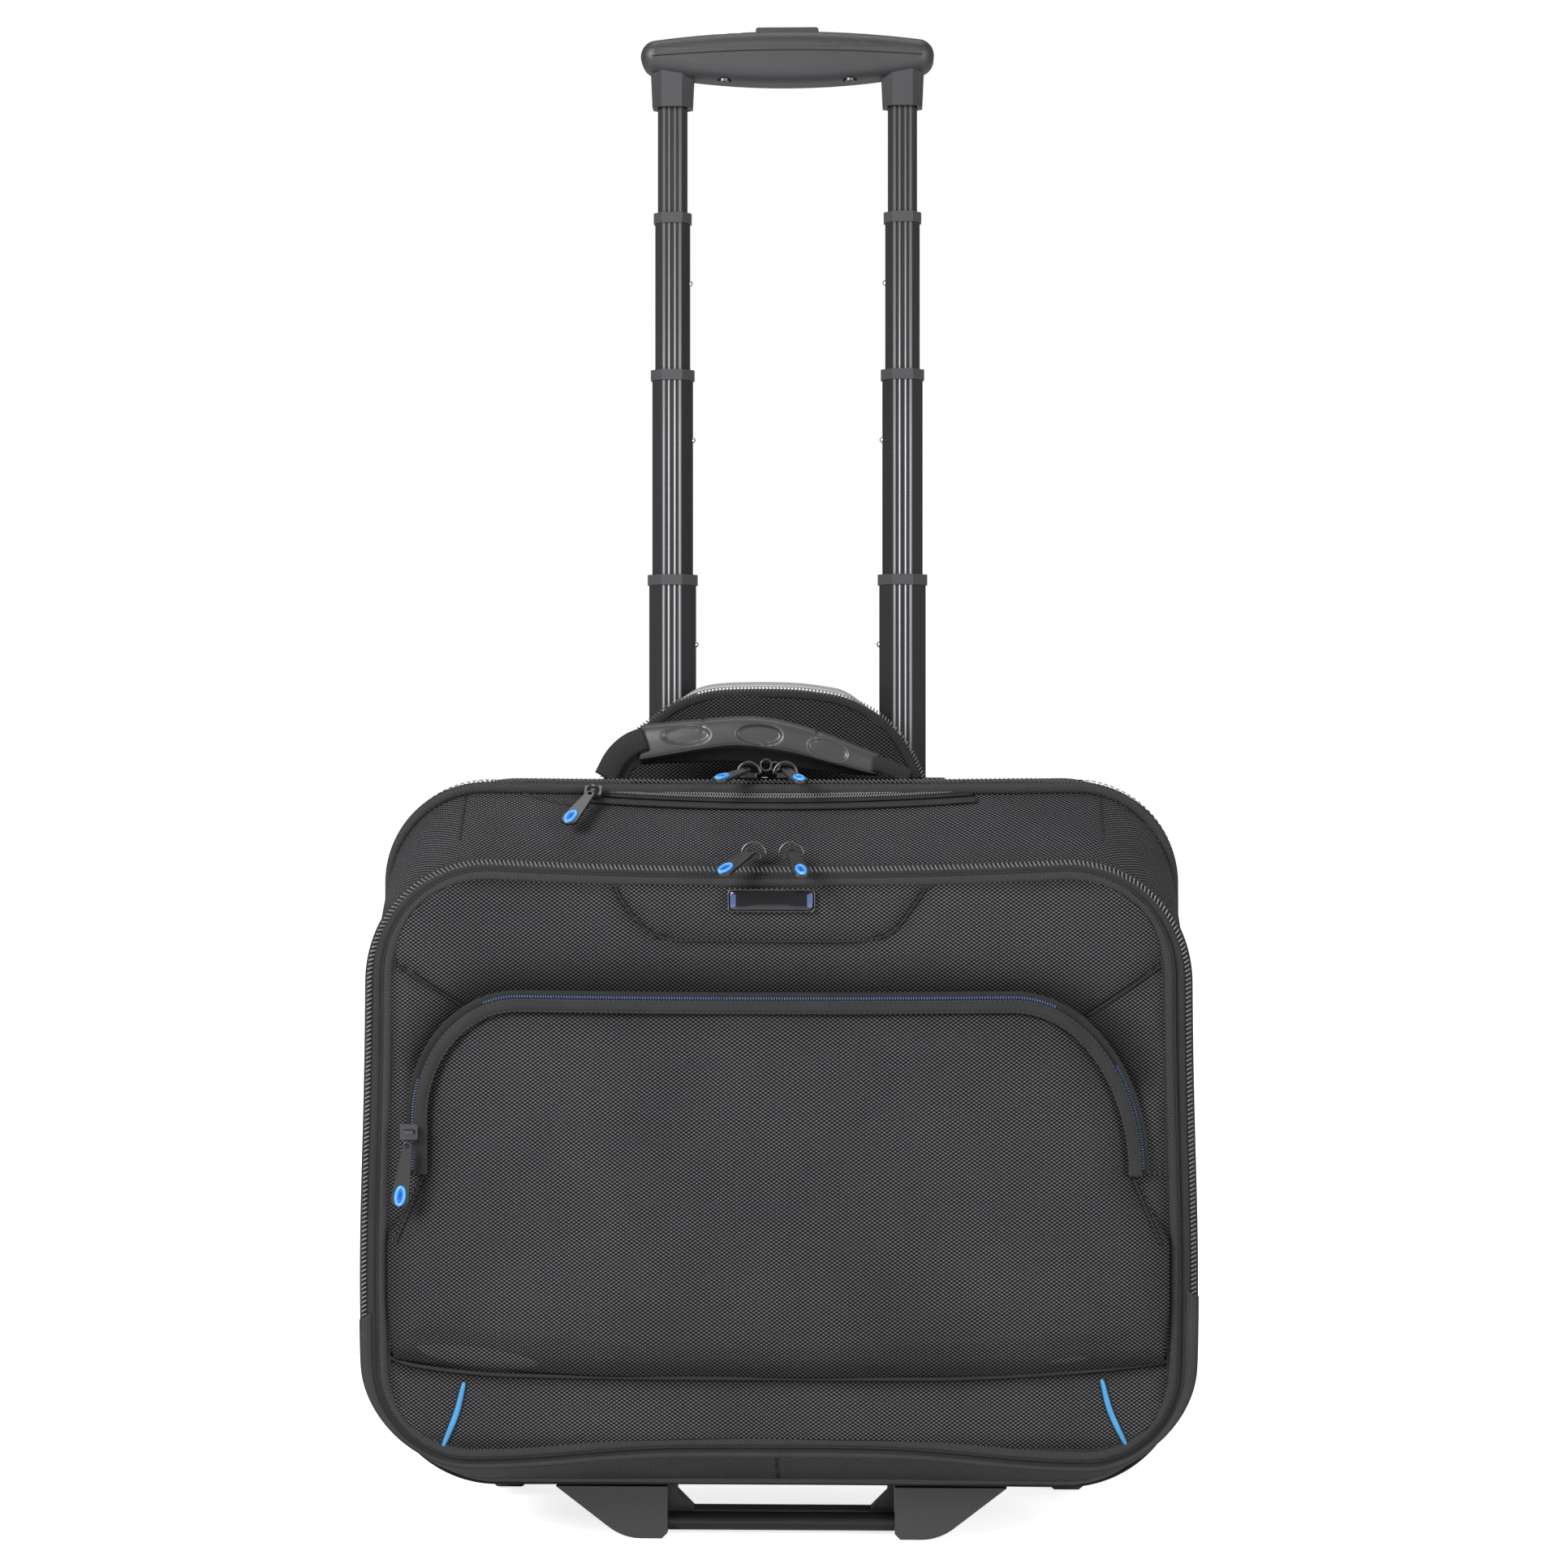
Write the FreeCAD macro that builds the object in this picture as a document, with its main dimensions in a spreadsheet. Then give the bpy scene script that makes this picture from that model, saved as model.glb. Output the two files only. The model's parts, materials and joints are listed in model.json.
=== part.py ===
"""Pilot rolling flight case: soft-sided bag with telescopic handle, foot stand and two wheels.

Millimetres. +X is to the right as seen from the front, +Y points to the back, +Z up.
The origin is on the floor, under the middle of the case's box.
"""
import FreeCAD, Part
import math
import os
import re
import Sketcher
from FreeCAD import Vector, Placement, Rotation

doc = FreeCAD.newDocument("flight_case")
PARTS = []

# ---------------------------------------------------------------- driving dimensions

DIMENSIONS = {
    # the bag's main planes, front to back
    "front_plane": -101.1,
    "divider_plane": -38.6,
    "back_plane": 113.4,
    # outlines seen from the front: half width, bottom, top, corner radii
    "bag_half": 214.0,
    "bag_floor": 28.0,
    "bag_top": 408.0,
    "bag_top_radius": 54.0,
    "bag_low_radius": 58.0,
    "wall": 3.0,
    "front_half": 205.0,
    "front_floor": 55.0,
    "front_top": 364.0,
    "front_radius": 57.0,
    "fold_height": 125.0,
    "joint_gap": 0.4,
    "zip_width": 7.0,
    "zip_depth": 4.0,
    "front_zip_end": 138.0,
    "main_zip_end": 70.0,
    "cord_radius": 3.2,
    # document pocket on the front flap
    "pocket_half": 190.0,
    "pocket_top": 292.0,
    "pocket_radius": 56.0,
    "pocket_depth": 9.6,
    "pocket_slot": 4.8,
    # name plate
    "plate_width": 44.0,
    "plate_height": 10.5,
    "plate_centre": -3.0,
    "plate_low": 339.5,
    # telescopic handle
    "handle_y": 97.4,
    "tube_spread": 66.0,
    "tube_wall": 1.2,
    "tube_face": 5.6,
    "bore_face": 5.7,
    "groove_depth": 0.4,
    "groove_middle": 0.9,
    "groove_inner": 2.45,
    "groove_outer": 3.7,
    "outer_width": 30.2,
    "stage4_width": 26.6,
    "stage3_width": 23.1,
    "stage2_width": 19.8,
    "stage1_width": 16.8,
    "tube_aspect": 0.85,
    "outer_low": 225.0,
    "outer_top": 404.0,
    "stage4_low": 352.0,
    "stage4_top": 525.0,
    "stage3_low": 480.0,
    "stage3_top": 642.5,
    "stage2_low": 602.0,
    "stage2_top": 732.6,
    "stage1_low": 692.0,
    "stage1_top": 811.8,
    "collar_height": 6.0,
    "collar_rim": 0.9,
    "pin_radius": 2.0,
    "pin_drop": 40.0,
    "pin_sunk": 0.05,
    "pin_length": 1.3,
    "pin_hole_start": 1.0,
    "pin_hole_length": 4.0,
    "bezel_half": 90.0,
    "grip_half": 84.0,
    "grip_low": 806.0,
    "grip_top": 836.0,
    "grip_parting": 826.0,
    "grip_depth": 29.0,
    "socket_low": 793.0,
    "button_half": 18.0,
    "button_top": 838.6,
    # stand under the front half
    "stand_front": -36.6,
    "stand_rear": -2.6,
    "leg_inner": 61.0,
    "leg_foot": 84.6,
    "leg_outer": 121.0,
    "leg_round": 30.0,
    "bar_radius": 5.0,
    "bar_height": 7.4,
    "tray_low": 5.0,
    "tray_top": 11.8,
    # wheels
    "wheel_radius": 28.0,
    "wheel_width": 22.0,
    "wheel_x": 160.0,
    "wheel_y": 102.4,
    "axle_radius": 3.0,
    "run_clearance": 0.05,
    "housing_wall": 3.5,
}

sheet = doc.addObject("Spreadsheet::Sheet", "Sizes")
for row, (alias, value) in enumerate(DIMENSIONS.items(), start=1):
    sheet.set("A%d" % row, alias)
    sheet.set("B%d" % row, str(value))
    sheet.setAlias("B%d" % row, alias)
doc.recompute()


def bound(text):
    """A cell expression, with each alias pointed at the sheet."""
    return re.sub(r"[a-z_]+[0-9]*[a-z_]*", lambda m: "Sizes." + m.group(0)
                  if m.group(0) in DIMENSIONS else m.group(0), str(text))


def value(name):
    return float(sheet.get(name))


def keep(item, label):
    """Registers a finished sub-part under its node name."""
    item.Label = label
    PARTS.append((label, item))
    return item


# ---------------------------------------------------------------- primitives bound to the sheet

def block(name, x, y, z):
    """A box from low and high expressions along each axis."""
    item = doc.addObject("Part::Box", name)
    spans = (("Length", "x", x), ("Width", "y", y), ("Height", "z", z))
    for size, axis, (low, high) in spans:
        item.setExpression(size, bound("(%s) - (%s)" % (high, low)))
        item.setExpression("Placement.Base." + axis, bound(low))
    return item


def rod(name, radius, length, centre, axis):
    """A cylinder that starts at centre and runs along axis."""
    item = doc.addObject("Part::Cylinder", name)
    item.setExpression("Radius", bound(radius))
    item.setExpression("Height", bound(length))
    item.Placement = Placement(Vector(), Rotation(Vector(0, 0, 1), Vector(*axis)))
    for letter, text in zip("xyz", centre):
        item.setExpression("Placement.Base." + letter, bound(text))
    return item


def fuse(name, shapes):
    item = doc.addObject("Part::MultiFuse", name)
    item.Shapes = shapes
    return item


def cut(name, base, tool):
    item = doc.addObject("Part::Cut", name)
    item.Base = base
    item.Tool = tool
    return item


def common(name, base, tool):
    item = doc.addObject("Part::Common", name)
    item.Base = base
    item.Tool = tool
    return item


def solid(name, shape):
    """A feature whose shape is made with Part's own functions."""
    item = doc.addObject("Part::Feature", name)
    item.Shape = shape
    return item


# ---------------------------------------------------------------- sketches and bodies

def plane_of(body, role):
    return [f for f in body.Origin.OriginFeatures if f.Role == role][0]


def new_sketch(body, name, role, offset):
    """A sketch on one of the body's origin planes, moved along the plane's normal."""
    sketch = body.newObject("Sketcher::SketchObject", name)
    sketch.AttachmentSupport = [(plane_of(body, role), "")]
    sketch.MapMode = "FlatFace"
    sketch.setExpression("AttachmentOffset.Base.z", bound(offset))
    return sketch


def polygon(sketch, points):
    """A closed chain of lines whose corners are pinned to the sketch's origin."""
    start = [(number_of(a), number_of(b)) for a, b in points]
    first = sketch.GeometryCount
    count = len(points)
    lines = []
    rules = []
    for i in range(count):
        a = start[i]
        b = start[(i + 1) % count]
        lines.append(Part.LineSegment(Vector(a[0], a[1], 0), Vector(b[0], b[1], 0)))
        rules.append(Sketcher.Constraint("Coincident", first + i, 2, first + (i + 1) % count, 1))
    texts = []
    for i, (across, up) in enumerate(points):
        rules.append(Sketcher.Constraint("DistanceX", -1, 1, first + i, 1, start[i][0]))
        rules.append(Sketcher.Constraint("DistanceY", -1, 1, first + i, 1, start[i][1]))
        texts += [across, up]
    sketch.addGeometry(lines)
    numbers = sketch.addConstraint(rules)[count:]
    for number, text in zip(numbers, texts):
        sketch.setExpression("Constraints[%d]" % number, bound(text))


def number_of(text):
    """The present value of a number or an expression of sheet cells."""
    try:
        return float(text)
    except ValueError:
        sheet.set("D1", "=" + str(text))
        sheet.recompute()
        return float(sheet.get("D1"))


def outline(sketch, half, low, high, r_low, r_high):
    """A rectangle symmetric about X = 0 with rounded lower and upper corners."""
    w, b, t, rb, rt = (number_of(e) for e in (half, low, high, r_low, r_high))
    quarter = math.pi / 2
    lines = [Part.LineSegment(Vector(-w + rb, b, 0), Vector(w - rb, b, 0)),
             Part.LineSegment(Vector(w, b + rb, 0), Vector(w, t - rt, 0)),
             Part.LineSegment(Vector(w - rt, t, 0), Vector(-w + rt, t, 0)),
             Part.LineSegment(Vector(-w, t - rt, 0), Vector(-w, b + rb, 0))]
    bottom, right, top, left = range(4)
    corners = []
    for cx, cy, r, turn in ((w - rb, b + rb, rb, 3), (w - rt, t - rt, rt, 0),
                            (-w + rt, t - rt, rt, 1), (-w + rb, b + rb, rb, 2)):
        circle = Part.Circle(Vector(cx, cy, 0), Vector(0, 0, 1), r)
        corners.append(Part.ArcOfCircle(circle, turn * quarter, (turn + 1) * quarter))
    sketch.addGeometry(lines + corners)
    chain = [bottom, 4, right, 5, top, 6, left, 7]
    rules = [Sketcher.Constraint("Tangent", a, 2, b, 1) for a, b in zip(chain, chain[1:] + chain[:1])]
    rules += [Sketcher.Constraint("Horizontal", bottom), Sketcher.Constraint("Horizontal", top)]
    plain = len(rules)
    rules += [Sketcher.Constraint("DistanceX", -1, 1, right, 1, w),
              Sketcher.Constraint("DistanceX", left, 1, -1, 1, w),
              Sketcher.Constraint("DistanceY", -1, 1, bottom, 1, b),
              Sketcher.Constraint("DistanceY", -1, 1, top, 1, t)]
    texts = [half, half, low, high, r_low, r_high, r_high, r_low]
    rules += [Sketcher.Constraint("Radius", 4 + i, r) for i, r in enumerate((rb, rt, rt, rb))]
    numbers = sketch.addConstraint(rules)[plain:]
    for number, text in zip(numbers, texts):
        sketch.setExpression("Constraints[%d]" % number, bound(text))


def new_body(name):
    return doc.addObject("PartDesign::Body", name)


def prism(body, name, frame, y_front, y_rear):
    """Pads a rounded outline from its rear plane towards the front (-Y)."""
    sketch = new_sketch(body, name + "_outline", "XZ_Plane", "-(%s)" % y_rear)
    outline(sketch, *frame)
    pad = body.newObject("PartDesign::Pad", name + "_pad")
    pad.Profile = sketch
    pad.setExpression("Length", bound("(%s) - (%s)" % (y_rear, y_front)))
    body.Tip = pad
    return pad


def hollow(body, name, frame, y_front, y_rear):
    """Cuts a rounded outline out of the body between two planes."""
    doc.recompute()
    before = body.Shape.Volume
    sketch = new_sketch(body, name + "_outline", "XZ_Plane", "-(%s)" % y_front)
    outline(sketch, *frame)
    pocket = body.newObject("PartDesign::Pocket", name + "_pocket")
    pocket.Profile = sketch
    pocket.setExpression("Length", bound("(%s) - (%s)" % (y_rear, y_front)))
    body.Tip = pocket
    doc.recompute()
    if body.Shape.Volume >= before:
        raise RuntimeError(name + " cuts nothing")
    return pocket


def inset(frame, by):
    """The same outline, moved inwards by an expression."""
    half, low, high, r_low, r_high = frame
    return ("%s - (%s)" % (half, by), "%s + (%s)" % (low, by), "%s - (%s)" % (high, by),
            "%s - (%s)" % (r_low, by), "%s - (%s)" % (r_high, by))


BAG = ("bag_half", "bag_floor", "bag_top", "bag_low_radius", "bag_top_radius")
FRONT = ("front_half", "front_floor", "front_top", "front_radius", "front_radius")
POCKET = ("pocket_half", "fold_height + 2", "pocket_top", "4", "pocket_radius")


def ring_above(name, frame, width, y_front, y_rear, height):
    """A band that follows an outline, kept only above a height."""
    body = new_body(name + "_ring")
    prism(body, name + "_outer", frame, y_front, y_rear)
    hollow(body, name + "_inner", inset(frame, width), y_front, y_rear)
    keep_box = block(name + "_span", ("-bag_half - 20", "bag_half + 20"),
                     ("%s - 1" % y_front, "%s + 1" % y_rear), (height, "bag_top + 20"))
    return common(name, body, keep_box)


# ---------------------------------------------------------------- soft bag

def main_compartment():
    body = new_body("main_gusset")
    prism(body, "gusset", BAG, "divider_plane + 0.5", "back_plane - 0.4")
    hollow(body, "gusset_inside", inset(BAG, "wall"), "divider_plane + 0.5", "back_plane - 0.4")
    wells = [wheel_well("well_%d" % side, side, "back_plane - 60", "back_plane + 5") for side in (-1, 1)]
    mouth = block("bezel_mouth", ("-92", "92"), ("handle_y - 13", "handle_y + 13"),
                  ("bag_top - 8", "bag_top + 5"))
    keep(cut("main_shell_cut", body, fuse("main_shell_openings", wells + [mouth])), "main_shell")
    panel = new_body("back_fabric")
    prism(panel, "back", BAG, "back_plane - 0.3", "back_plane + 3.7")
    wells = [wheel_well("back_well_%d" % side, side, "back_plane - 5", "back_plane + 8")
             for side in (-1, 1)]
    keep(cut("back_panel_cut", panel, fuse("back_wells", wells)), "back_panel")
    board = new_body("frame_board_body")
    prism(board, "frame_board", inset(BAG, "15"), "back_plane - 2.8", "back_plane - 0.6")
    wells = [wheel_well("board_well_%d" % side, side, "back_plane - 8", "back_plane + 1")
             for side in (-1, 1)]
    keep(cut("frame_board_cut", board, fuse("board_wells", wells)), "frame_board")
    keep(block("base_board_block", ("-138", "138"), ("divider_plane + 6", "back_plane - 8"),
               ("bag_floor + wall + 0.3", "bag_floor + wall + 3.3")), "base_board")
    zipper = ring_above("main_zipper_band", BAG, "zip_width", "divider_plane - 3.7",
                        "divider_plane", "main_zip_end")
    keep(zipper, "main_zipper")


def wheel_well(name, side, y_front, y_rear):
    low = "wheel_x - wheel_width / 2 - housing_wall - 2.4"
    high = "wheel_x + wheel_width / 2 + housing_wall + 2.4"
    if side < 0:
        span = ("-(%s)" % high, "-(%s)" % low)
    else:
        span = (low, high)
    return block(name, span, (y_front, y_rear), ("bag_floor - 30", "2 * wheel_radius + 8.4"))


def front_compartment():
    """Gusset that widens towards the back, with the divider as its rear wall."""
    body = new_body("middle_shell_body")
    front_y = "front_plane + 7.4"
    rear_y = "divider_plane - 4"
    narrow = ("front_half", "front_floor - 1", "front_top + 2", "front_radius", "front_radius + 1")
    wide = ("bag_half - 3", "bag_floor + 2", "bag_top - 2", "bag_low_radius - 2", "bag_top_radius - 2")
    loft_between(body, "gusset_loft", "PartDesign::AdditiveLoft", narrow, front_y, wide, rear_y)
    doc.recompute()
    before = body.Shape.Volume
    loft_between(body, "gusset_hollow", "PartDesign::SubtractiveLoft", inset(narrow, "wall"),
                 front_y, inset(wide, "wall"), rear_y + " - wall")
    doc.recompute()
    if body.Shape.Volume >= before:
        raise RuntimeError("middle_shell stays solid")
    keep(body, "middle_shell")
    track = ("front_half + 2", "front_floor - 2", "front_top + 2", "front_radius", "front_radius + 2")
    zipper = ring_above("front_zipper_band", track, "zip_width", "front_plane + 3.2",
                        "front_plane + 7.2", "front_zip_end")
    keep(zipper, "front_zipper")
    caps = []
    for side, low, high in ((-1, "-front_half - 2.4", "-front_half + 5.4"),
                            (1, "front_half - 5.4", "front_half + 2.4")):
        caps.append(block("cap_%d" % side, (low, high), ("front_plane + 3.4", "front_plane + 7.2"),
                          ("front_zip_end - 10", "front_zip_end - 0.1")))
    keep(fuse("zipper_end_cap_pair", caps), "zipper_end_caps")
    lower = new_body("front_lower_tray")
    prism(lower, "lower_face", inset(FRONT, "1"), "front_plane - 3", "front_plane + 7.2")
    hollow(lower, "lower_inside", inset(FRONT, "4"), "front_plane", "front_plane + 7.2")
    below = block("below_fold", ("-front_half", "front_half"), ("front_plane - 5", "front_plane + 9"),
                  ("0", "fold_height - joint_gap"))
    keep(common("front_lower", lower, below), "front_lower_panel")


def loft_between(body, name, kind, frame_a, y_a, frame_b, y_b):
    first = new_sketch(body, name + "_a", "XZ_Plane", "-(%s)" % y_a)
    outline(first, *frame_a)
    second = new_sketch(body, name + "_b", "XZ_Plane", "-(%s)" % y_b)
    outline(second, *frame_b)
    loft = body.newObject(kind, name)
    loft.Profile = first
    loft.Sections = [second]
    loft.Ruled = True
    body.Tip = loft


def front_flap():
    """Front panel above the fold, with its piping, document pocket, plate and pocket zip."""
    panel = new_body("front_panel_body")
    prism(panel, "front_face", inset(FRONT, "2 * cord_radius + 0.4"), "front_plane - 3", "front_plane")
    above = block("above_fold", ("-front_half", "front_half"), ("front_plane - 4", "front_plane + 1"),
                  ("fold_height + joint_gap", "front_top"))
    keep(common("front_panel_cut", panel, above), "front_panel")
    keep(solid("front_piping_sweep", piping_arch()), "front_piping")
    pocket = new_body("front_pocket_body")
    front_y = "front_plane - 3.3 - pocket_depth"
    prism(pocket, "pocket_face", POCKET, front_y, "front_plane - 3.3")
    slot = block("pocket_slot_box", ("-pocket_half + 28", "pocket_half - 28"),
                 ("front_plane - 3.3 - (pocket_depth + pocket_slot) / 2",
                  "front_plane - 3.3 - (pocket_depth - pocket_slot) / 2"),
                 ("fold_height + 6", "pocket_top + 5"))
    keep(cut("front_pocket_cut", pocket, slot), "front_pocket")
    band = inset(POCKET, "1.5")
    zipper = ring_above("pocket_zip_band", (band[0], band[1], band[2], "3", band[4]), "2.4",
                        front_y + " - 1.4", front_y + " - 0.2", "fold_height + 80")
    keep(zipper, "pocket_zip")
    plate = new_body("name_plate_body")
    sketch = new_sketch(plate, "plate_outline", "XZ_Plane", "-(front_plane - 3.2)")
    low = "plate_low"
    high = "plate_low + plate_height"
    left = "plate_centre - plate_width / 2"
    right = "plate_centre + plate_width / 2"
    polygon(sketch, [(left, low), (right, low), (right, high), (left, high)])
    pad = plate.newObject("PartDesign::Pad", "plate_pad")
    pad.Profile = sketch
    pad.Length = 2.4
    plate.Tip = pad
    keep(plate, "name_plate")


def piping_arch():
    """Round cord along the front panel's edge, from the fold up and over."""
    r = value("cord_radius")
    half = value("front_half") - r
    top = value("front_top") - r
    bend = value("front_radius") - r
    y = value("front_plane") - 0.2
    low = value("fold_height") + value("joint_gap")
    slant = bend * math.sqrt(0.5)

    def at(x, z):
        return Vector(x, y, z)

    left = Part.LineSegment(at(-half, low), at(-half, top - bend))
    turn_left = Part.Arc(at(-half, top - bend), at(-half + bend - slant, top - bend + slant),
                         at(-half + bend, top))
    across = Part.LineSegment(at(-half + bend, top), at(half - bend, top))
    turn_right = Part.Arc(at(half - bend, top), at(half - bend + slant, top - bend + slant),
                          at(half, top - bend))
    right = Part.LineSegment(at(half, top - bend), at(half, low))
    path = Part.Wire([e.toShape() for e in (left, turn_left, across, turn_right, right)])
    ring = Part.Wire(Part.Circle(at(-half, low), Vector(0, 0, 1), r).toShape())
    return path.makePipeShell([ring], True, True)


# ---------------------------------------------------------------- telescopic handle

def tube_outline(sketch, centre, width, grow, face, ribbed=False):
    """Eight-sided tube section: narrow front and back faces and long chamfers, ribbed in front."""
    a = "(%s) / 2 + %s" % (width, grow)
    b = "(%s) / 2 * tube_aspect + %s" % (width, grow)
    side = "(%s) * 0.16" % width
    points = [(face, "-(%s)" % b), (a, "-(%s)" % side), (a, side), (face, b)]
    left = [("-(%s)" % x, y) for x, y in reversed(points)]
    ribs = front_grooves(b) if ribbed else []
    shifted = [("%s + (%s)" % (centre, x), "handle_y + (%s)" % y) for x, y in points + left + ribs]
    polygon(sketch, shifted)


def front_grooves(half_depth):
    """Three shallow grooves in a tube's front face, from left to right."""
    face = "-(%s)" % half_depth
    floor = "-(%s) + groove_depth" % half_depth
    points = []
    for start, end in (("-groove_outer", "-groove_inner"), ("-groove_middle", "groove_middle"),
                       ("groove_inner", "groove_outer")):
        points += [(start, face), (start, floor), (end, floor), (end, face)]
    return points


def tube_pair(name, low, high, outside, inside, ribbed=False):
    """Two equal hollow tubes; outside and inside are (width, growth, front face half width)."""
    body = new_body(name + "_body")
    body.AllowCompound = True
    sketch = new_sketch(body, name + "_section", "XY_Plane", low)
    for centre in ("-tube_spread", "tube_spread"):
        tube_outline(sketch, centre, *outside, ribbed)
        tube_outline(sketch, centre, *inside)
    pad = body.newObject("PartDesign::Pad", name + "_pad")
    pad.Profile = sketch
    pad.setExpression("Length", bound("(%s) - (%s)" % (high, low)))
    body.Tip = pad
    return body


def inner_side_rods(name, width, z, radius, start, length):
    """Two short rods along X on the tubes' inner sides."""
    rods = []
    for side in (-1, 1):
        x = "%d * (tube_spread - (%s) / 2) - %d * (%s)" % (side, width, side, start)
        rods.append(rod("%s_%d" % (name, side), radius, length, (x, "handle_y", z), (side, 0, 0)))
    return fuse(name, rods)


def telescopic_stages():
    outer = tube_pair("outer_tubes", "outer_low", "outer_top", ("outer_width", "0", "tube_face"),
                      ("outer_width", "-tube_wall", "bore_face"))
    keep(outer, "outer_tubes")
    for stage in (4, 3, 2):
        width = "stage%d_width" % stage
        inner = "stage%d_width" % (stage - 1)
        low = "stage%d_low" % stage
        top = "stage%d_top" % stage
        tubes = tube_pair("stage_%d" % stage, low, top + " - collar_height", (width, "0", "tube_face"),
                          (width, "-tube_wall", "bore_face"), ribbed=True)
        pin_z = top + " - pin_drop"
        holes = inner_side_rods("pin_holes_%d" % stage, width, pin_z, "pin_radius + pin_sunk",
                                 "pin_hole_start", "pin_hole_length")
        keep(cut("stage_%d_drilled" % stage, tubes, holes), "tubes_stage_%d" % stage)
        collars = tube_pair("collar_%d" % stage, top + " - collar_height + 0.05", top,
                            (width, "collar_rim", "tube_face + collar_rim * 0.4"),
                            (inner, "run_clearance", "tube_face + run_clearance"))
        keep(collars, "collars_stage_%d" % stage)
        pins = inner_side_rods("lock_pins_%d" % stage, width, pin_z, "pin_radius", "-pin_sunk", "pin_length")
        keep(pins, "lock_pins_stage_%d" % stage)
    tubes = tube_pair("stage_1", "stage1_low", "stage1_top", ("stage1_width", "0", "tube_face"),
                      ("stage1_width", "-tube_wall", "bore_face"), ribbed=True)
    keep(tubes, "tubes_stage_1")


def bezel_and_bracket():
    plate = block("bezel_plate", ("-bezel_half", "bezel_half"), ("handle_y - 12.7", "handle_y + 12.7"),
                  ("outer_top + 0.2", "bag_top + 0.7"))
    mouths = tube_openings("bezel_mouth_cut", "stage4_width", "0.5", "outer_top - 1", "bag_top + 2")
    keep(cut("bezel_cut", plate, mouths), "handle_bezel")
    foot = block("foot_plate", ("-bezel_half", "bezel_half"), ("handle_y - 14", "back_plane - 3.4"),
                 ("outer_low - 12", "outer_low - 0.1"))
    keep(foot, "handle_foot_bracket")


def tube_openings(name, width, gap, low, high):
    holes = []
    for side in (-1, 1):
        centre = "%d * tube_spread" % side
        half = "(%s) / 2 + %s" % (width, gap)
        deep = "(%s) / 2 * tube_aspect + %s" % (width, gap)
        holes.append(block("%s_%d" % (name, side), ("%s - (%s)" % (centre, half), "%s + (%s)" % (centre, half)),
                           ("handle_y - (%s)" % deep, "handle_y + (%s)" % deep), (low, high)))
    return fuse(name, holes)


def grip_blank():
    """Crowned bar with two tube sockets under its ends."""
    half = value("grip_half")
    low = value("grip_low")
    top = value("grip_top")
    end_low = low + 7
    end_top = top - 5
    y = value("handle_y")
    deep = value("grip_depth") / 2
    middle = (end_low + end_top) / 2

    def at(x, z):
        return Vector(x, y - deep, z)

    edges = [Part.Arc(at(-half + 6, end_low), at(0, low), at(half - 6, end_low)),
             Part.Arc(at(half - 6, end_low), at(half, middle), at(half - 7, end_top)),
             Part.Arc(at(half - 7, end_top), at(0, top), at(-half + 7, end_top)),
             Part.Arc(at(-half + 7, end_top), at(-half, middle), at(-half + 6, end_low))]
    face = Part.Face(Part.Wire([e.toShape() for e in edges]))
    bar = face.extrude(Vector(0, 2 * deep, 0))
    bar = bar.makeFillet(8.5, bar.Edges)
    shape = bar
    for side in (-1, 1):
        shape = shape.fuse(socket_blank(side))
    return shape.removeSplitter()


def socket_blank(side):
    """Tapered, faceted socket that takes the top of one tube."""
    x = side * value("tube_spread")
    y = value("handle_y")
    wires = []
    for z, a, b in ((value("socket_low"), 11.4, 10.2), (value("grip_low") + 14, 12.6, 11.2)):
        f = 5.8
        corners = [(-f, -b), (f, -b), (a, -b + 5), (a, b - 5), (f, b), (-f, b), (-a, b - 5), (-a, -b + 5)]
        points = [Vector(x + px, y + py, z) for px, py in corners]
        wires.append(Part.makePolygon(points + [points[0]]))
    return Part.makeLoft(wires, True, True)


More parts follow.
